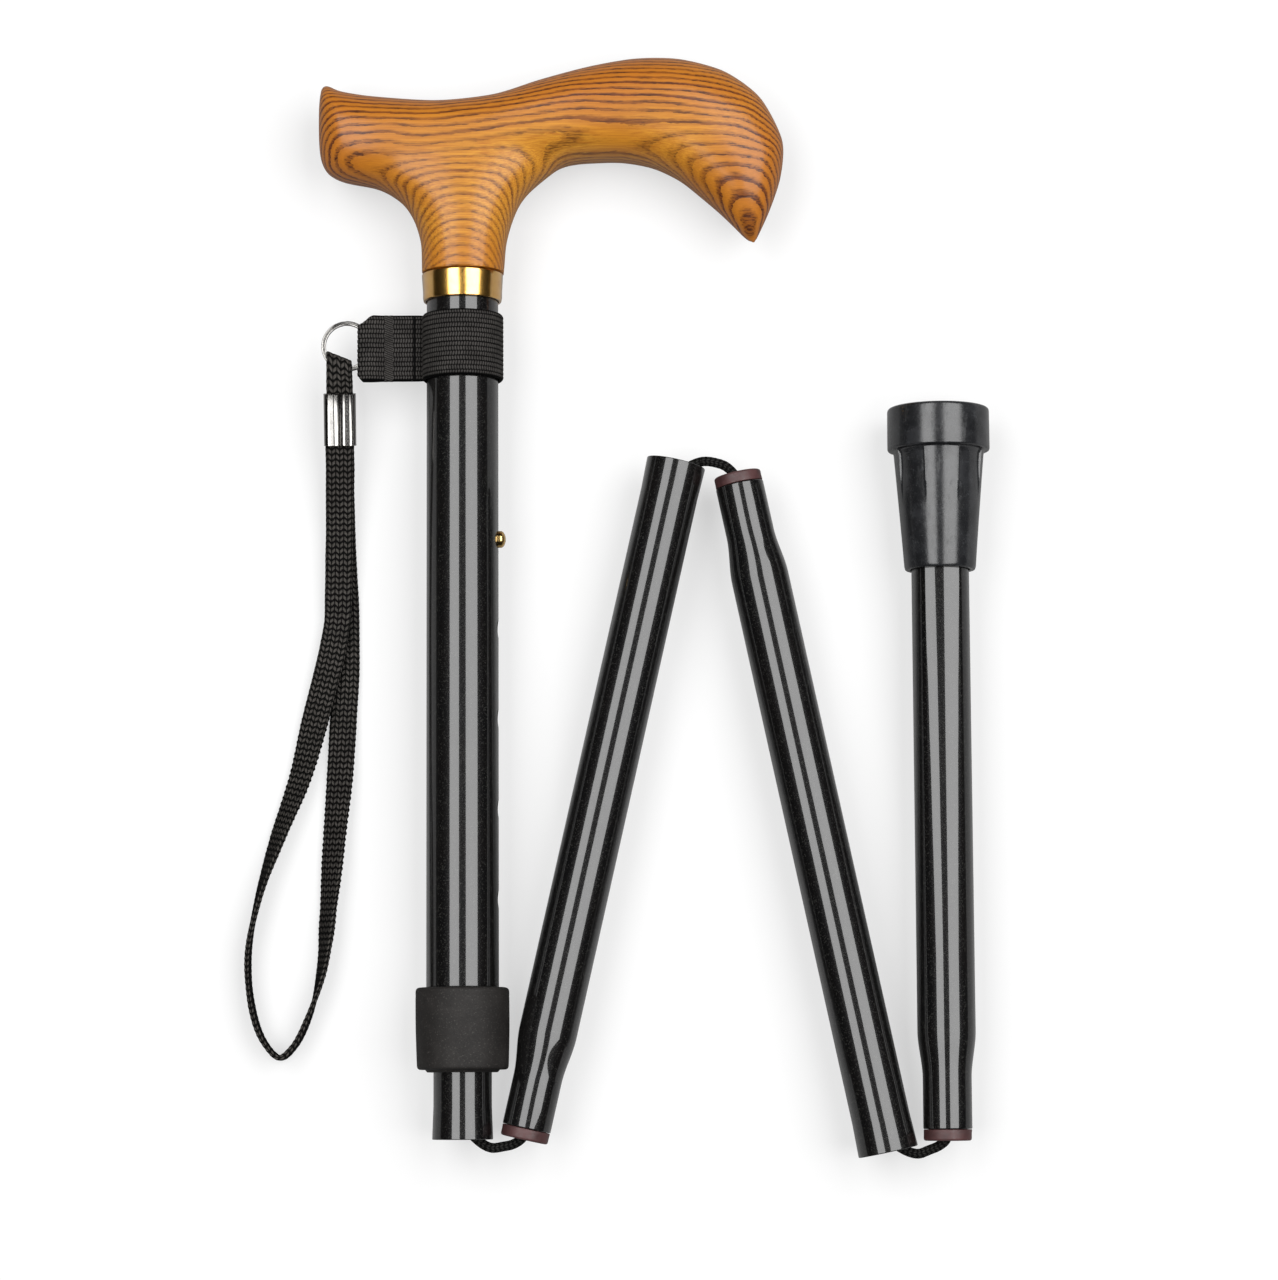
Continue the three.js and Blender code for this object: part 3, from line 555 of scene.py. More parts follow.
def wood_finish():
    """Stained, lacquered ash: growth rings lie along the handle and slope with depth."""
    f = Finish("ash_wood", IOR=1.5, Specular_IOR_Level=0.2, Coat_Weight=0.35, Coat_Roughness=0.24, Coat_IOR=1.5)
    origin = tuple(-UPPER[:3, 3])

    def grain(scale, detail, rough=0.5):
        return f.node("TexNoise", {"Vector": f.place(scale, origin), "Scale": 1.0, "Detail": detail,
                                   "Roughness": rough}, output="Fac")

    place = f.place((1, 1, 1), origin)
    lengthways, split, depth = (f.node("SeparateXYZ", {0: place}, output=axis) for axis in "XYZ")
    height = f.math("SUBTRACT", split, f.math("MULTIPLY", depth, 1.1))
    height = f.math("ADD", height, f.math("MULTIPLY_ADD", grain((0.022, 0.035, 0.045), 1.5), 9.0, -4.5))
    height = f.math("ADD", height, f.math("MULTIPLY_ADD", grain((0.09, 0.25, 0.25), 2.0), 1.2, -0.6))
    height = f.math("ADD", height, f.math("MULTIPLY_ADD", grain((0.5, 1.6, 1.6), 2.0), 0.7, -0.35))
    phase = f.math("DIVIDE", height, 2.35)
    ring = f.math("FRACT", phase)
    chance = f.node("TexWhiteNoise", {"W": f.math("FLOOR", phase)}, output="Value", noise_dimensions="1D")
    early = f.math("MULTIPLY", f.spread(ring, 0.0, 0.08), f.spread(ring, 0.18, 0.62, 1.0, 0.0))
    pore = f.spread(grain((0.16, 2.6, 2.6), 3.0, 0.6), 0.47, 0.60)
    fibre = grain((0.05, 3.4, 3.4), 4.0, 0.65)
    blush = f.spread(grain((0.02, 0.03, 0.03), 2.0), 0.35, 0.65)
    ends = f.spread(f.math("ABSOLUTE", f.math("SUBTRACT", lengthways, 24.0)), 36.0, 62.0)
    crown = f.spread(split, 274.0, 292.0)
    bold = f.math("MULTIPLY_ADD", f.math("MAXIMUM", ends, crown), 0.40, 0.62)
    clear = f.mix(blush, (0.450, 0.172, 0.0130), (0.540, 0.245, 0.0240))
    clear = f.mix(f.math("MULTIPLY", f.math("MAXIMUM", ends, crown), 0.50), clear, (0.360, 0.092, 0.0080))
    clear = f.mix(f.spread(fibre, 0.35, 0.72), clear, (0.340, 0.115, 0.0100))
    band = f.math("MULTIPLY", f.math("MULTIPLY", early, bold), f.math("MULTIPLY_ADD", chance, 0.50, 0.60))
    stained = f.mix(band, clear, (0.130, 0.032, 0.0050))
    stained = f.mix(f.math("MULTIPLY", f.spread(ring, 0.62, 1.0), 0.25), stained, (0.270, 0.080, 0.0110))
    porous = f.math("MULTIPLY", f.math("MULTIPLY", pore, bold), f.math("MULTIPLY_ADD", early, 1.0, 0.05))
    stained = f.mix(porous, stained, (0.050, 0.013, 0.0035))
    relief = f.math("SUBTRACT", f.math("MULTIPLY", fibre, 0.4), porous)
    f.use(Base_Color=stained, Roughness=f.math("MULTIPLY_ADD", fibre, 0.2, 0.42))
    f.use(Normal=f.bump(relief, 0.30, 0.10))
    return f.use(Coat_Normal=f.bump(f.math("ADD", relief, f.noise(0.5, 3, 0.6)), 0.12, 0.08))


FINISH = {
    "ash_wood": wood_finish(),
    "gold_metal": gold_finish(),
    "black_tube": black_tube_finish(),
    "sleeve_rubber": sleeve_finish(),
    "tip_rubber": tip_finish(),
    "nylon": plastic_finish("nylon", (0.48, 0.46, 0.41), 0.40, 1.15),
    "brown_plastic": plastic_finish("brown_plastic", (0.040, 0.014, 0.014), 0.45, 1.7, 1.0, 0.3),
    "black_plastic": plastic_finish("black_plastic", (0.02, 0.02, 0.02), 0.40, 1.8),
    "brass_button": metal_finish("brass_button", (0.78, 0.52, 0.20), 0.16, 0.12),
    "steel": metal_finish("steel", (0.56, 0.56, 0.55), 0.28, 0.15, (1, 6, 1)),
    "nickel": metal_finish("nickel", (0.36, 0.35, 0.335), 0.14, 0.14, dents=0.015),
    # For the yarns the first colour is painted groove shade, laid where the relief is low; the second is the
    # yarn's own colour on its ridges
    "webbing": yarn_finish("webbing", (0.0008, 0.0008, 0.0008), (0.050, 0.047, 0.044), 0.75, 4.0),
    "strap_braid": yarn_finish("strap_braid", (0.0012, 0.0012, 0.0011), (0.060, 0.055, 0.050), 0.75, 5.0),
    "shock_cord": yarn_finish("shock_cord", (0.0012, 0.0012, 0.0012), (0.024, 0.0235, 0.0220), 0.75, 6.0),
}


def finish_with(piece, slot):
    piece.data.materials.clear()
    piece.data.materials.append(FINISH[slot])


def add(piece, body, slot, *nodes):
    """Gives a finished piece its material and its body, and hides the CAD nodes that it stands for."""
    finish_with(piece, slot)
    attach(piece, body)
    if nodes:
        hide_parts(*nodes)
    return piece


# ---- braids

def plait(u, v, columns, pitch, slant):
    """Height, 0 to 1, of a flat braid: columns of slanting stitches that lean to alternate sides."""
    place = u * columns
    column = np.floor(place)
    across = place - column - 0.5
    lean = np.where(column % 2 == 0, 1.0, -1.0)
    along = v / pitch + lean * across * slant
    stitch = along - np.floor(along) - 0.5
    ridge = np.sqrt(np.clip(1 - (stitch / 0.38)**2, 0, 1))
    return ridge * (0.15 + 0.85 * (1 - (2 * across)**4))


# ---- wrist strap

# The strap's route, ply by ply: x and y in the sections' plane, z above the floor, and how far the
# braid has turned on edge, in degrees. It is the CAD's route, but for up to 0.7 mm in z and 18 degrees
# of turn where the two plies part.
STRAP_ROUTE = [
    (-34.6, 193.0, 10.57, 0), (-34.7, 187.0, 9.2, 0), (-34.8, 178.0, 7.15, 0), (-34.9, 168.0, 5.25, 0),
    (-35.1, 157.0, 4.4, 0), (-35.5, 145.5, 3.6, 0), (-36.7, 137.0, 3.3, 0), (-38.4, 129.5, 3.25, 4),
    (-41.6, 117.3, 2.9, 14), (-45.9, 100.4, 3.4, 35), (-52.0, 83.6, 4.1, 58), (-57.2, 66.9, 4.5, 78),
    (-60.0, 50.2, 4.6, 90), (-58.4, 34.6, 4.6, 90), (-55.2, 26.6, 4.6, 90), (-51.0, 22.6, 4.6, 90),
    (-47.2, 25.6, 4.6, 90), (-43.0, 34.0, 4.6, 90), (-39.6, 46.5, 4.5, 108), (-37.6, 66.7, 4.0, 128),
    (-36.3, 83.5, 3.4, 145), (-34.9, 100.3, 2.5, 160), (-34.0, 117.2, 1.5, 172), (-33.4, 129.9, 1.15, 178),
    (-33.5, 145.2, 1.1, 180), (-34.0, 157.0, 1.5, 180), (-34.5, 168.0, 2.8, 180), (-34.7, 178.0, 4.7, 180),
    (-34.7, 187.0, 6.75, 180), (-34.6, 193.0, 8.13, 180),
]
IN_CRIMP = 6.0
BRAID_COLUMNS, BRAID_PITCH, BRAID_RELIEF = 16, 1.65, 0.34
EYE_WIDTH, EYE_THICKNESS, EYE_RELIEF = 7.5, 1.55, 0.28

tilt = math.radians(STRAP_TILT)
strap_pivot_y = RING_Y - math.sqrt(RING_R**2 - (STRAP_X - RING_X)**2)
STRAP_FRAME = UPPER @ np.array([
    [1, 0, 0, STRAP_X],
    [0, math.cos(tilt), -math.sin(tilt), strap_pivot_y],
    [0, math.sin(tilt), math.cos(tilt), 0],
    [0, 0, 0, 1],
])


def strap_route():
    """Points every quarter millimetre or so in the upper tube's local frame, with their turn."""
    lie = -(UPPER[2, 3] - FLOOR_Z) / MM
    rows = np.array([(x, y, z + lie, turn) for x, y, z, turn in STRAP_ROUTE])
    into = np.array([0, math.cos(tilt), math.sin(tilt), 0]) * IN_CRIMP
    rows = np.vstack([rows[0] + into, rows, rows[-1] + into])
    return evenly(catmull_rom(rows, 1600), 1400)


def add_wrist_strap():
    route = strap_route()
    centres, turn = route[:, :3], route[:, 3]
    level, lift = flat_frames(centres, turn)
    section = stadium(STRAP_WIDTH - 2 * BRAID_RELIEF, STRAP_THICKNESS - 2 * BRAID_RELIEF + 0.2, 64)
    rng = np.random.default_rng(3)
    wander = np.interp(np.arange(len(centres)), np.linspace(0, len(centres), 60), rng.normal(0, 0.06, 60))

    def lift_of(u, v):
        height = plait(u, v + 0 * u, BRAID_COLUMNS, BRAID_PITCH, 0.55)
        return height * BRAID_RELIEF + wander[:, None], height

    piece = sweep("strap_cord", centres, level, lift, section, UPPER, lift_of)
    add(piece, "strap", "strap_braid", "wrist_strap")
    return piece, centres


def add_strap_eye():
    """The strap's end over the ring's wire, both plies going down into the crimp."""
    leg, top, arc = 1.15, 1.0, 1.95
    side = [(-14.0, leg), (-10.0, leg), (-7.0, leg + 0.05), (-4.5, leg + 0.35), (-2.0, arc - 0.15), (top, arc)]
    bend = [(top + arc * math.sin(a), arc * math.cos(a)) for a in np.radians((30, 60, 90, 120, 150))]
    line = side + bend + [(y, -z) for y, z in reversed(side)]
    rows = np.array([(0, y, z) for y, z in line])
    centres = evenly(catmull_rom(rows, 300), 190)
    t = tangents(centres)
    across = np.tile([1.0, 0, 0], (len(centres), 1))
    out = np.cross(t, across)
    section = stadium(EYE_WIDTH - 2 * EYE_RELIEF, EYE_THICKNESS - 2 * 0.2, 84)

    def lift_of(u, v):
        height = plait(u, v + 0 * u, 14, 1.8, 0.6)
        return height * EYE_RELIEF, height

    piece = sweep("strap_eye_fold", centres, across, out, section, None, lift_of)
    for vertex in piece.data.vertices:
        y, x = vertex.co.y, vertex.co.x
        vertex.co.y += -0.40 * x * float(smoothstep(-6.0, 2.0, y))
        vertex.co.x *= 1 + 0.05 * float(smoothstep(1.0, -6.0, y))
    piece.data.transform(Matrix(STRAP_FRAME.tolist()))
    finish_mesh(piece.data, 60)
    outward(piece)
    return add(piece, "strap", "strap_braid", "strap_eye")


def add_crimp():
    """A strip of plated sheet closed round both plies, its two edges curling in at the front."""
    wall, w, back = 0.42, 4.18, -2.80
    corners = [(0.22, 1.7), (0.30, 2.55, 0.45), (1.3, 2.95, 0.9), (3.1, 2.9, 1.0), (w, 2.2, 1.1), (w, back, 1.4),
               (-w, back, 1.4), (-w, 2.2, 1.1), (-3.1, 2.9, 1.0), (-1.3, 2.95, 0.9), (-0.30, 2.55, 0.45),
               (-0.22, 1.7)]
    line = evenly(rounded(corners, 8), 120)
    t = tangents(line)
    normal = np.stack([-t[:, 1], t[:, 0]], axis=1)
    outline = np.vstack([line + normal * wall / 2, (line - normal * wall / 2)[::-1]])
    piece = extruded("strap_crimp_sheet", outline, -CRIMP_FROM - CRIMP_LENGTH, -CRIMP_FROM, STRAP_FRAME, 0.13)
    return add(piece, "strap", "nickel", "strap_crimp")


def add_split_ring():
    """Flat wire wound twice round, with a short step where it passes from one turn to the other."""
    angle = np.linspace(math.radians(100), math.radians(100 + 712), 320)
    share = (angle - angle[0]) / (angle[-1] - angle[0])
    layer = -0.33 + 0.66 * smoothstep(0.44, 0.55, share)
    centres = np.column_stack([RING_X + RING_R * np.cos(angle), RING_Y + RING_R * np.sin(angle), layer])
    out = np.column_stack([np.cos(angle), np.sin(angle), 0 * angle])
    level = np.tile([0, 0, 1.0], (len(angle), 1))
    piece = sweep("split_ring_coil", centres, out, level, stadium(1.22, 0.60, 20, 0.24), UPPER)
    return add(piece, "ring", "nickel", "split_ring")


strap_cord, strap_path = add_wrist_strap()
eye_piece = add_strap_eye()
crimp_piece = add_crimp()
add_split_ring()


# ---- webbing band and tab

def band_line():
    """The webbing's middle line in the XZ plane: round the tube, out as a flat tab, round the ring."""
    radius, ply = 10.72, 0.60
    start = math.asin(ply / radius)
    round_tube = [(-radius * math.cos(a), radius * math.sin(a)) for a in np.linspace(start, math.pi, 90)]
    outward_ply = [(-12.5, ply), (-15.5, ply + 0.03), (-19.0, ply), (-21.4, ply + 0.02), (-22.9, 0.85),
                   (-24.6, 1.28), (-26.2, 1.38), (-27.3, 1.30)]
    end = [(-27.5 - 1.25 * math.sin(a), 1.25 * math.cos(a)) for a in np.radians((25, 50, 75))]
    half = [*reversed(round_tube), *outward_ply, *end, (-28.8, 0.0)]
    return np.array(half + [(x, -z) for x, z in reversed(half[1:-1])])


def add_band():
    line = band_line()
    line = evenly(np.vstack([line, line[:1]]), 861)[:-1]
    rows = 14
    pitch = (BAND_TO - BAND_FROM) / rows
    t = tangents(line, closed=True)
    out = np.stack([t[:, 1], -t[:, 0]], axis=1)
    if (out[0] @ line[0]) < 0:
        out = -out
    thick, edge = 0.95, 0.42
    flat = (BAND_TO - BAND_FROM) / 2 - edge
    section = [(thick / 2, y) for y in np.linspace(flat, -flat, 85)]
    section += [(thick / 2 * math.cos(a), -flat - edge * math.sin(a)) for a in np.radians((30, 60, 90, 120, 150))]
    section += [(-thick / 2, y) for y in np.linspace(-flat, flat, 15)]
    section += [(thick / 2 * math.cos(a), flat + edge * math.sin(a)) for a in np.radians((150, 120, 90, 60, 30))]
    section, columns = np.array(section), len(section)
    middle = (BAND_FROM + BAND_TO) / 2
    along = arc_lengths(np.vstack([line, line[:1]]))[:-1]
    x = line[:, 0]
    half = (BAND_TO - BAND_FROM) / 2
    left = x - x.min()
    top = (half - 2.5 * smoothstep(4.0, 0.0, left))[:, None]
    bottom = (-half + 1.3 * smoothstep(1.0, 0.0, left))[:, None]
    y = section[None, :, 1]
    squeezed = np.where(y > 0, y / half * top, -y / half * bottom)
    height_here = squeezed + middle
    # stitches in rows along the strip; the edges stay smooth
    row = (squeezed + half) / pitch
    lean = np.where(np.floor(row) % 2 == 0, 0.25, -0.25)
    stitch = (along[:, None] / 0.74 + lean * (row - np.floor(row))) % 1.0 - 0.5
    across = row - np.floor(row) - 0.5
    knit = np.sqrt(np.clip(1 - (stitch / 0.46)**2, 0, 1)) * (1 - (2 * across)**4)
    inner = np.sign(section[None, :, 0]) < 0
    selvedge = smoothstep(half, half - 0.9, np.abs(squeezed))
    knit = knit * np.where(inner, 0.3, 1.0) * 0.28 * selvedge
    # bar stitching that closes the tab on the ring, a second seam, and the crease where the tab leaves the tube
    bar = smoothstep(1.35, 1.15, np.abs(x + 20.6))[:, None]
    thread = 0.5 + 0.5 * np.sin(2 * math.pi * (height_here / 0.62 + x[:, None] / 1.6))
    knit = knit * (1 - bar) + bar * (0.06 + 0.26 * thread)
    seam = np.exp(-((x + 13.4) / 0.35)**2)[:, None]
    knit = knit * (1 - 0.8 * seam)
    crease = np.exp(-((x + 11.2) / 0.7)**2)[:, None]
    offset = section[None, :, 0] + np.where(inner, -1, 1) * (knit - 0.35 * crease * (1 - inner))
    points = np.stack([
        line[:, None, 0] + out[:, None, 0] * offset,
        height_here,
        line[:, None, 1] + out[:, None, 1] * offset,
    ], axis=-1)
    piece = mesh_from("band_webbing", points, grid_faces(len(line), columns, True), UPPER, 60)
    # The relief also sets the webbing's colour: where it is low, in the grooves, along the seam and the bar
    # stitching, at the smooth edges and on the inner face, the material lays painted shade
    store_relief(piece, np.clip(knit / 0.28, 0, 1))
    return add(piece, "upper", "webbing", "wrist_band", "ring_loop")


# ---- handle

# Stations from the handle's blunt back end to its nose: underside x, y, top x, y, half thickness.
HANDLE_STATIONS = [
    (-40.3, 281.6, -40.3, 282.4, 0), (-40.2, 277.0, -40.3, 287.5, 3.2), (-39.7, 273.4, -40.1, 291.4, 5.8),
    (-38.2, 270.4, -39.4, 294.6, 8.3), (-35.6, 268.4, -37.6, 294.8, 10.4), (-33.0, 267.2, -34.2, 293.2, 11.9),
    (-26.0, 266.2, -25.0, 291.6, 13.0), (-8.0, 268.0, -7.0, 290.3, 13.3), (9.0, 269.0, 9.0, 292.0, 13.4),
    (23.0, 271.0, 22.0, 296.1, 13.8), (34.0, 272.9, 36.0, 299.8, 14.3), (44.5, 273.2, 49.0, 302.0, 14.3),
    (53.5, 271.5, 61.5, 301.8, 14.3), (61.0, 267.8, 74.0, 298.3, 13.7), (67.0, 262.9, 84.0, 290.8, 12.6),
    (72.3, 258.2, 90.1, 278.7, 10.8), (76.2, 254.3, 89.6, 268.6, 8.2), (79.4, 250.9, 86.5, 259.1, 4.8),
    (81.7, 249.2, 82.1, 249.2, 0),
]
NECK_LEVELS = [
    (NECK_FROM, -11.4, 11.6, 11.4), (243.5, -11.4, 11.8, 11.4), (250, -11.7, 12.4, 11.6),
    (256.5, -13.7, 14.2, 11.9), (262, -17.6, 17.0, 12.3), (266.2, -24.5, 21.0, 12.6),
    (270.5, -27.0, 26.5, 12.6), (276, -22.0, 24.0, 11.8), (280, -14, 14, 9.0), (283, -4, 4, 3),
]


def loft(stations, frame_of, along, around):
    """A closed loft of squarish round sections through stations."""
    rows = catmull_rom(stations, along, 0.4)
    angle = np.arange(around) * 2 * math.pi / around
    power = 2 / 2.3
    in_plane = np.sign(np.cos(angle)) * np.abs(np.cos(angle))**power
    across = np.sign(np.sin(angle)) * np.abs(np.sin(angle))**power
    centre, half, depth = frame_of(rows)
    points = np.zeros((along, around, 3))
    points[..., :2] = centre[:, None, :] + half[:, None, :] * in_plane[None, :, None]
    points[..., 2] = np.maximum(depth, 0)[:, None] * across[None, :]
    return points


def capped(name, points):
    rows, columns = points.shape[:2]
    return mesh_from(name, points, grid_faces(rows, columns, False), None, 35, end_caps(rows, columns))


def relax(piece, rounds, weight_of):
    """Evens out a mesh: each point moves towards the middle of its neighbours by its own weight."""
    mesh = piece.data
    co = np.zeros(len(mesh.vertices) * 3)
    mesh.vertices.foreach_get("co", co)
    co = co.reshape(-1, 3)
    edges = np.zeros(len(mesh.edges) * 2, int)
    mesh.edges.foreach_get("vertices", edges)
    edges = edges.reshape(-1, 2)
    weight = (weight_of(co) * 0.5)[:, None]
    count = np.bincount(edges.ravel(), minlength=len(co))[:, None]
    for _ in range(rounds):
        total = np.zeros_like(co)
        for k in range(3):
            total[:, k] = (np.bincount(edges[:, 0], co[edges[:, 1], k], len(co))
                           + np.bincount(edges[:, 1], co[edges[:, 0], k], len(co)))
        co = co + weight * (total / count - co)
    mesh.vertices.foreach_set("co", co.ravel())
    mesh.update()


def add_handle():
    bar = loft(HANDLE_STATIONS, lambda r: (
        (r[:, 0:2] + r[:, 2:4]) / 2, (r[:, 2:4] - r[:, 0:2]) / 2, r[:, 4]), 150, 72)
    neck = loft(NECK_LEVELS, lambda r: (
        np.stack([(r[:, 1] + r[:, 2]) / 2, np.maximum(r[:, 0], NECK_FROM)], axis=1),
        np.stack([(r[:, 2] - r[:, 1]) / 2, 0 * r[:, 0]], axis=1), r[:, 3]), 70, 72)
    bar_piece, neck_piece = capped("handle_turned", bar), capped("handle_neck", neck)
    union = bar_piece.modifiers.new("union", "BOOLEAN")
    union.object, union.operation, union.solver = neck_piece, "UNION", "EXACT"
    remesh = bar_piece.modifiers.new("even", "REMESH")
    remesh.mode, remesh.voxel_size, remesh.adaptivity = "VOXEL", 0.6, 0.0
    applied(bar_piece)
    bpy.data.objects.remove(neck_piece)

    def blend_weight(co):
        near = smoothstep(256, 262, co[:, 1]) * smoothstep(279, 273, co[:, 1])
        return near * smoothstep(38, 30, np.abs(co[:, 0]))

    def even_weight(co):
        return smoothstep(NECK_FROM + 0.2, NECK_FROM + 1.5, co[:, 1])

    relax(bar_piece, 150, blend_weight)
    relax(bar_piece, 6, even_weight)
    bar_piece.data.transform(Matrix(UPPER.tolist()))
    finish_mesh(bar_piece.data, 50)
    outward(bar_piece)
    return add(bar_piece, "upper", "ash_wood", "handle")


# ---- tubes

def ring_profile(outside, inside, low, high, edge=0.25):
    return rounded([(outside, (low + high) / 2), (outside, high, edge), (inside, high, edge), (inside, low, edge),
                    (outside, low, edge), (outside, (low + high) / 2)], 3)[:-1]


def hole_cutter(y):
    """A rod along local X at height y, for a height hole on the tube's right side."""
    sides, x_from, x_to = 48, 5.5, 12.5
    angle = np.arange(sides) * 2 * math.pi / sides
    ends = [np.column_stack([np.full(sides, x), y + HOLE_R * np.cos(angle), HOLE_R * np.sin(angle)])
            for x in (x_from, x_to)]
    return mesh_from("cutter", np.vstack(ends), grid_faces(2, sides, False), UPPER, 35, end_caps(2, sides))


def add_upper_tube():
    piece = lathe("upper_tube_skin", ring_profile(UPPER_R, UPPER_R - WALL, UPPER_FROM, UPPER_TO), UPPER, 128)
    for i in range(HOLE_COUNT):
        cut_with(piece, hole_cutter(BUTTON_Y - i * HOLE_PITCH))
    finish_mesh(piece.data, 30)
    return add(piece, "upper", "black_tube", "upper_tube")


def add_inner_tube():
    outline = rounded([
        (LOWER_R, 60), (LOWER_R, SHAFT_LENGTH, 0.25), (LOWER_R - WALL, SHAFT_LENGTH, 0.25),
        (LOWER_R - WALL, 9, 6), (LOWER_R - WALL + 0.35, 0, 0.2), (LOWER_R + 0.35, 0, 0.25), (LOWER_R, 9, 6),
        (LOWER_R, 60),
    ], 6)[:-1]
    piece = lathe("inner_tube_skin", outline, UPPER, 112)
    cut_with(piece, hole_cutter(BUTTON_Y))
    finish_mesh(piece.data, 30)
    return add(piece, "shaft", "black_tube", "inner_tube")


def section_profile(length, flare):
    """A tube from its drawn-down tip, through a soft taper, to a flared mouth or a plain end."""
    inside, taper_from, taper_to = LOWER_R - WALL, SWAGE_LENGTH - 2.5, SWAGE_LENGTH + TAPER_LENGTH + 1.5
    y = np.linspace(taper_from, taper_to, 21)
    share = smoothstep(taper_from, taper_to, y)
    outer = [(SWAGE_R + (LOWER_R - SWAGE_R) * s, at) for s, at in zip(share, y)]
    inner = [(r - WALL, at) for r, at in outer]
    mouth = rounded([(LOWER_R, taper_to + 20), (LOWER_R, length - 9, 6), (LOWER_R + flare, length, 0.3),
                     (inside + flare, length, 0.3), (inside, length - 9, 6), (inside, taper_to + 20)], 6)
    tip = rounded([(SWAGE_R - WALL, 12), (SWAGE_R - WALL, CAP_LENGTH, 0.2), (SWAGE_R, CAP_LENGTH, 0.3),
                   (SWAGE_R, 12)], 3)
    return [*outer, *mouth, *reversed(inner), *tip]


def add_section(number, length, flare):
    body = f"section_{number}"
    tube = lathe(f"{body}_skin", section_profile(length, flare), SECTION[number], 112)
    add(tube, body, "black_tube", f"{body}_tube")
    return add(cap_piece(number), body, "brown_plastic", f"{body}_cap")


def cap_piece(number):
    plug, hole = SWAGE_R - WALL - 0.2, CORD_R + 0.4
    outline = rounded([
        (SWAGE_R - 0.08, 1.8), (SWAGE_R - 0.08, CAP_LENGTH - 0.12, 0.25), (plug, CAP_LENGTH - 0.12, 0.1),
        (plug, CAP_LENGTH + 8, 0.5), (hole, CAP_LENGTH + 8, 0.3), (hole, 3.6, 1.5), (hole + 0.9, 1.2, 1.2),
        (hole + 3.0, 0, 0.9), (SWAGE_R - 0.15, 0, 0.75), (SWAGE_R - 0.08, 1.8),
    ], 5)[:-1]
    phase = number * 1.3

    def moulded(r, y, angle):
        waver = 0.05 * np.sin(3 * angle + phase) + 0.03 * np.sin(7 * angle + 2 * phase)
        line = 0.06 * np.exp(-((y - 1.75) / 0.16)**2)
        return r + np.where(r > SWAGE_R - 0.6, waver * smoothstep(3.1, 1.5, y) - line, 0)

    return lathe(f"section_{number}_cap_moulding", outline, SECTION[number], 112, moulded)


# ---- collar, sleeve, button, rubber tip

def add_collar():
    outline = rounded([
        (11.05, 235.5), (11.30, 239.6, 1.0), (11.35, COLLAR_TO, 0.35), (10.2, COLLAR_TO, 0.1),
        (10.2, COLLAR_FROM, 0.1), (10.85, COLLAR_FROM, 0.35), (11.05, 234.2, 0.8), (11.05, 235.5),
    ], 5)[:-1]

    def dented(r, y, angle):
        wave = 0.04 * np.sin(2 * angle + 0.6) + 0.02 * np.sin(5 * angle + y * 0.7)
        return r + np.where(r > 10.5, wave, 0)

    return add(lathe("collar_band", outline, UPPER, 128, dented), "upper", "gold_metal", "collar")


def add_sleeve():
    low, high = SLEEVE_FROM, SLEEVE_TO
    outline = rounded([
        (SLEEVE_R - 0.05, 30), (SLEEVE_R, high - 3.0, 4), (SLEEVE_R, high, 2.6), (10.25, high, 0.5),
        (10.2, 24.0, 0.2), (8.25, 24.0, 0.2), (8.25, low - 0.7, 0.2), (9.6, low - 0.7, 0.3),
        (10.3, low, 0.2), (SLEEVE_R - 0.3, low, 1.8), (SLEEVE_R - 0.2, 22, 3), (SLEEVE_R - 0.05, 30),
    ], 6)[:-1]
    dense = []
    for a, b in zip(outline, np.roll(outline, -1, axis=0)):
        steps = max(1, int(np.linalg.norm(b - a) / 0.5))
        dense += [a + (b - a) * k / steps for k in range(steps)]

    def moulded(r, y, angle):
        outer = smoothstep(11.5, 12.3, r)
        wave = 0.06 * np.sin(3 * angle + y * 0.11) + 0.04 * np.sin(8 * angle + y * 0.23 + 1)
        lip = -0.10 * np.exp(-((y - (high - 2.6 + 0.25 * np.sin(2 * angle))) / 0.22)**2)
        ragged = 0.20 * np.sin(9 * angle) * np.sin(4 * angle + 1) * smoothstep(low + 0.2, low - 0.7, y)
        return r + outer * (wave + lip) + np.where((r > 9) & (r < 11), ragged, 0)

    piece = lathe("tube_sleeve_rubber", np.array(dense), UPPER, 144, moulded, 50)
    return add(piece, "upper", "sleeve_rubber", "tube_sleeve")


def add_button():
    dome = [(2.4 * math.cos(a), 10.55 + 1.5 * math.sin(a)) for a in np.radians(np.linspace(12, 90, 10))]
    dome[-1] = (0.0, dome[-1][1])
    outline = [(0, 4.9), (3.1, 4.9), (3.3, 5.1), (3.3, 5.5), (3.1, 5.7), (2.5, 5.7), (2.35, 5.9), (2.35, 10.4),
               *dome]
    sideways = UPPER @ np.array([[0, 1, 0, 0], [-1, 0, 0, BUTTON_Y], [0, 0, 1, 0], [0, 0, 0, 1]])
    piece = lathe("snap_button_dome", outline, sideways, 64)
    outward(piece)
    return add(piece, "button", "brass_button", "snap_button")


PANEL_HALF, PANEL_DROP, PANEL_EDGE = 22.4, 12.5, 1.8


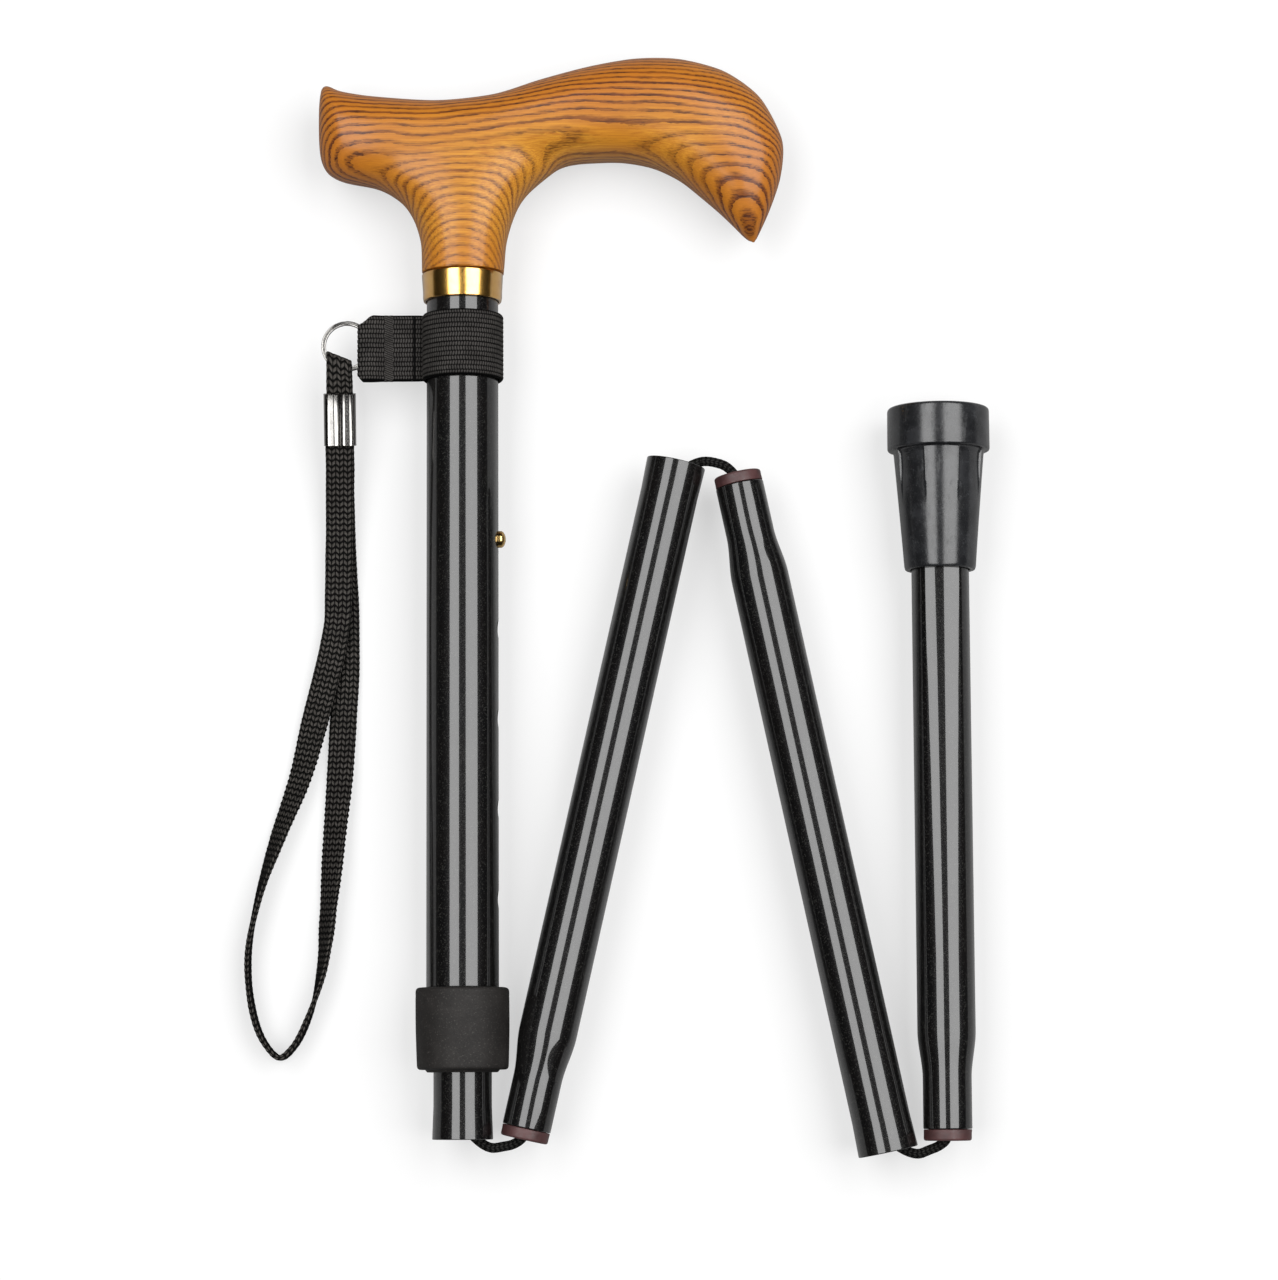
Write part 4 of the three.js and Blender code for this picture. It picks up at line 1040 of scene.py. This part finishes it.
def ferrule_outline():
    end = FOOT_LENGTH
    bore, pocket = LOWER_R + 0.3, end - 8.5
    skirt = [(9.95 + 2.55 * s**1.05, FERRULE_FROM + 1.0 + (FLANGE_FROM - 2.2 - FERRULE_FROM) * s)
             for s in np.linspace(0, 1, 60)]
    flange = rounded([
        (12.5, FLANGE_FROM - 1.3), (12.72, FLANGE_FROM, 0.5), (FERRULE_R - 0.05, FLANGE_FROM, 0.9),
        (FERRULE_R - 0.1, end, 1.1), (11.7, end, 0.3), (11.3, end - 1, 0.3), (10.1, end - 1, 0.3), (9.7, end, 0.3),
        (6.7, end, 0.3), (6.3, end - 1, 0.3), (5.1, end - 1, 0.3), (4.7, end, 0.3), (0, end),
    ], 5)
    inside = [(0, pocket), (bore + 1, pocket), (bore + 1, pocket - 1.8), (bore, pocket - 1.8)]
    mouth = rounded([(bore, FERRULE_FROM + 10), (bore, FERRULE_FROM, 0.3), (9.65, FERRULE_FROM, 0.5),
                     (9.95, FERRULE_FROM + 1.0)], 5)
    return np.array([*skirt, *flange, *inside, *mouth[:-1]])


def add_ferrule():
    def panelled(r, y, angle):
        turn = np.degrees(angle)
        off = np.abs(turn % 90 - 45)
        inside = smoothstep(PANEL_HALF, PANEL_HALF - PANEL_EDGE, off)
        depth = smoothstep(FLANGE_FROM - PANEL_DROP - 4, FLANGE_FROM - 2, y) * smoothstep(
            FLANGE_FROM + 0.4, FLANGE_FROM - 0.9, y)
        mark = np.exp(-((((turn - 73) * 0.21 / 1.4)**2 + ((y - 180.2) / 1.0)**2)**2))
        outer = (r > 9.5) & (y < FLANGE_FROM + 0.3) & (y > FERRULE_FROM + 0.5)
        return r - np.where(outer, inside * depth * 0.70 + 0.20 * mark, 0)

    piece = lathe("rubber_tip_moulding", ferrule_outline(), SECTION[4], 288, panelled, 40)
    return add(piece, "section_4", "tip_rubber", "rubber_tip")


# ---- shock cord

def fold_points(number):
    """The cord over a fold, in the frame of the fold's axis, with +Y out of the parent's mouth."""
    side, gap, a = FOLD_SIDE[number], TIP_GAP[number], FOLD_OFFSET
    turn = -side * math.radians(180 - OPENING[number])

    def parent(offset, depth):
        return np.array([-side * (a - offset), -FOLD_GAP - depth, 0])

    def child(offset, depth):
        return rotated(np.array([-side * (a - offset), gap + depth, 0]), turn)

    out = np.array([0, 1.0, 0])
    away = out - rotated(out, turn)
    away *= 1.9 / np.linalg.norm(away)
    rows = [parent(0, EXIT_DEPTH), parent(0, CORD_DEPTH), parent(0.7, 3.8), parent(3.2, 0.7), parent(5.8, -1.4),
            away, child(5.2, -gap - 0.9), child(2.6, -0.7 * gap - 0.3), child(0.7, 0.1), child(0, 2.6),
            child(0, CORD_DEPTH)]
    return catmull_rom(rows, 400)


def cord_braid(u, v):
    height = plait(u, v + 0 * u, 12, 1.25, 0.5)
    return 0.10 * height, height


def add_fold_cord(number, mouth, parent_body, link_body):
    """mouth is the parent mouth's frame, with +Y out of it; the fold's axis stands beside it."""
    axis = mouth @ np.array([[1, 0, 0, FOLD_SIDE[number] * FOLD_OFFSET], [0, 1, 0, FOLD_GAP], [0, 0, 1, 0],
                             [0, 0, 0, 1]])
    points = fold_points(number)
    length = arc_lengths(points)[-1]
    straight = EXIT_DEPTH - CORD_DEPTH
    first, second = ((straight + share * (length - straight)) / length for share in (0.4, 0.62))
    parent_x, child = mouth[:3, 0] / MM, SECTION[number + 1]
    child_x = child[:3, 0] / MM
    pieces = [
        ("exit", 0, first, parent_body, parent_x, mouth[:3, 3]),
        ("turn", first, second, parent_body, parent_x, mouth[:3, 3]),
        ("entry", second, 1, link_body, child_x, child[:3, 3]),
    ]
    for name, start, stop, body, squash_axis, anchor in pieces:
        steps = max(12, int((stop - start) * length / 0.22))
        line = evenly(points, steps, start, stop)
        t = tangents(line)
        level = np.cross(UP, t)
        up = np.tile(UP, (len(line), 1))
        piece = sweep(f"shock_cord_{name}_{number}", line, level, up, circle(CORD_R + 0.05, 48), axis, cord_braid)
        add(piece, body, "shock_cord", f"cord_{name}_{number}")
        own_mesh(piece)


# ---- build

add_handle()
add_collar()
add_upper_tube()
add_band()
add_sleeve()
add_inner_tube()
add_button()
add_section(2, SECTION_LENGTH, 0.28)
add_section(3, SECTION_LENGTH, 0.28)
add_section(4, FOOT_TUBE, 0.0)
add_ferrule()

down = np.array([[-1.0, 0, 0, 0], [0, -1.0, 0, 0], [0, 0, 1, 0], [0, 0, 0, 1]])
shift_up = np.eye(4)
shift_up[1, 3] = SECTION_LENGTH
add_fold_cord(1, UPPER @ down, "shaft", "fold_1_link")
add_fold_cord(2, SECTION[2] @ shift_up, "section_2", "fold_2_link")
add_fold_cord(3, SECTION[3] @ shift_up, "section_3", "fold_3_link")

for name, slot in (
    ("handle_stud", "steel"), ("top_plug", "nylon"), ("tube_bush", "nylon"), ("button_spring", "steel"),
    ("cord_anchor_top", "black_plastic"), ("cord_anchor_bottom", "black_plastic"), ("tip_disc", "steel"),
    ("cord_knot_top", "shock_cord"), ("cord_knot_bottom", "shock_cord"), ("cord_1", "shock_cord"),
    ("cord_2", "shock_cord"), ("cord_3", "shock_cord"), ("cord_4", "shock_cord"),
):
    finish_with(frame["nodes"][name], slot)


# ---- floor and light

def add_floor():
    """A pale floor that glows a little towards the camera, so that the shadows on it stay light."""
    mesh = bpy.data.meshes.new("floor")
    half = 6.0
    corners = [(-half, -half), (half, -half), (half, half), (-half, half)]
    mesh.from_pydata([(x, y, FLOOR_Z) for x, y in corners], [], [(0, 1, 2, 3)])
    floor = new_object("floor", mesh)
    f = Finish("floor", Roughness=0.9, Specular_IOR_Level=0.0, Emission_Color=(1, 1, 1, 1))
    seen = f.node("LightPath", output="Is Camera Ray")
    shade = f.mix(f.noise(0.01, 2, 0.5), (0.27, 0.27, 0.27), (0.28, 0.28, 0.28))
    f.use(Base_Color=shade, Emission_Strength=f.math("MULTIPLY", seen, 0.58))
    floor.data.materials.append(f.material)


def add_strip(name, x_from, x_to, y_from, y_to, height, radiance):
    """A soft box over the cane, long way along the tubes."""
    light = bpy.data.lights.new(name, "AREA")
    light.shape = "RECTANGLE"
    light.size, light.size_y = x_to - x_from, y_to - y_from
    light.energy = radiance * math.pi * light.size * light.size_y
    lamp = bpy.data.objects.new(name, light)
    lamp.location = ((x_from + x_to) / 2, (y_from + y_to) / 2, height)
    scene.collection.objects.link(lamp)


def add_world():
    world = bpy.data.worlds.new("studio")
    world.use_nodes = True
    scene.world = world
    tree = world.node_tree
    background = tree.nodes["Background"]
    path = tree.nodes.new("ShaderNodeLightPath")
    strength = tree.nodes.new("ShaderNodeMapRange")
    strength.inputs["To Min"].default_value = 0.08
    strength.inputs["To Max"].default_value = 0.95
    tree.links.new(path.outputs["Is Camera Ray"], strength.inputs["Value"])
    tree.links.new(strength.outputs["Result"], background.inputs["Strength"])


LIGHT_HEIGHT, LIGHT_RADIANCE = 1.6, 5.5
add_floor()
add_strip("strip_left", -1.34, -0.30, -0.8, 1.3, LIGHT_HEIGHT, LIGHT_RADIANCE)
add_strip("strip_right", 0.30, 1.90, -0.8, 1.3, LIGHT_HEIGHT, LIGHT_RADIANCE)
add_world()
scene.view_settings.view_transform = "Standard"
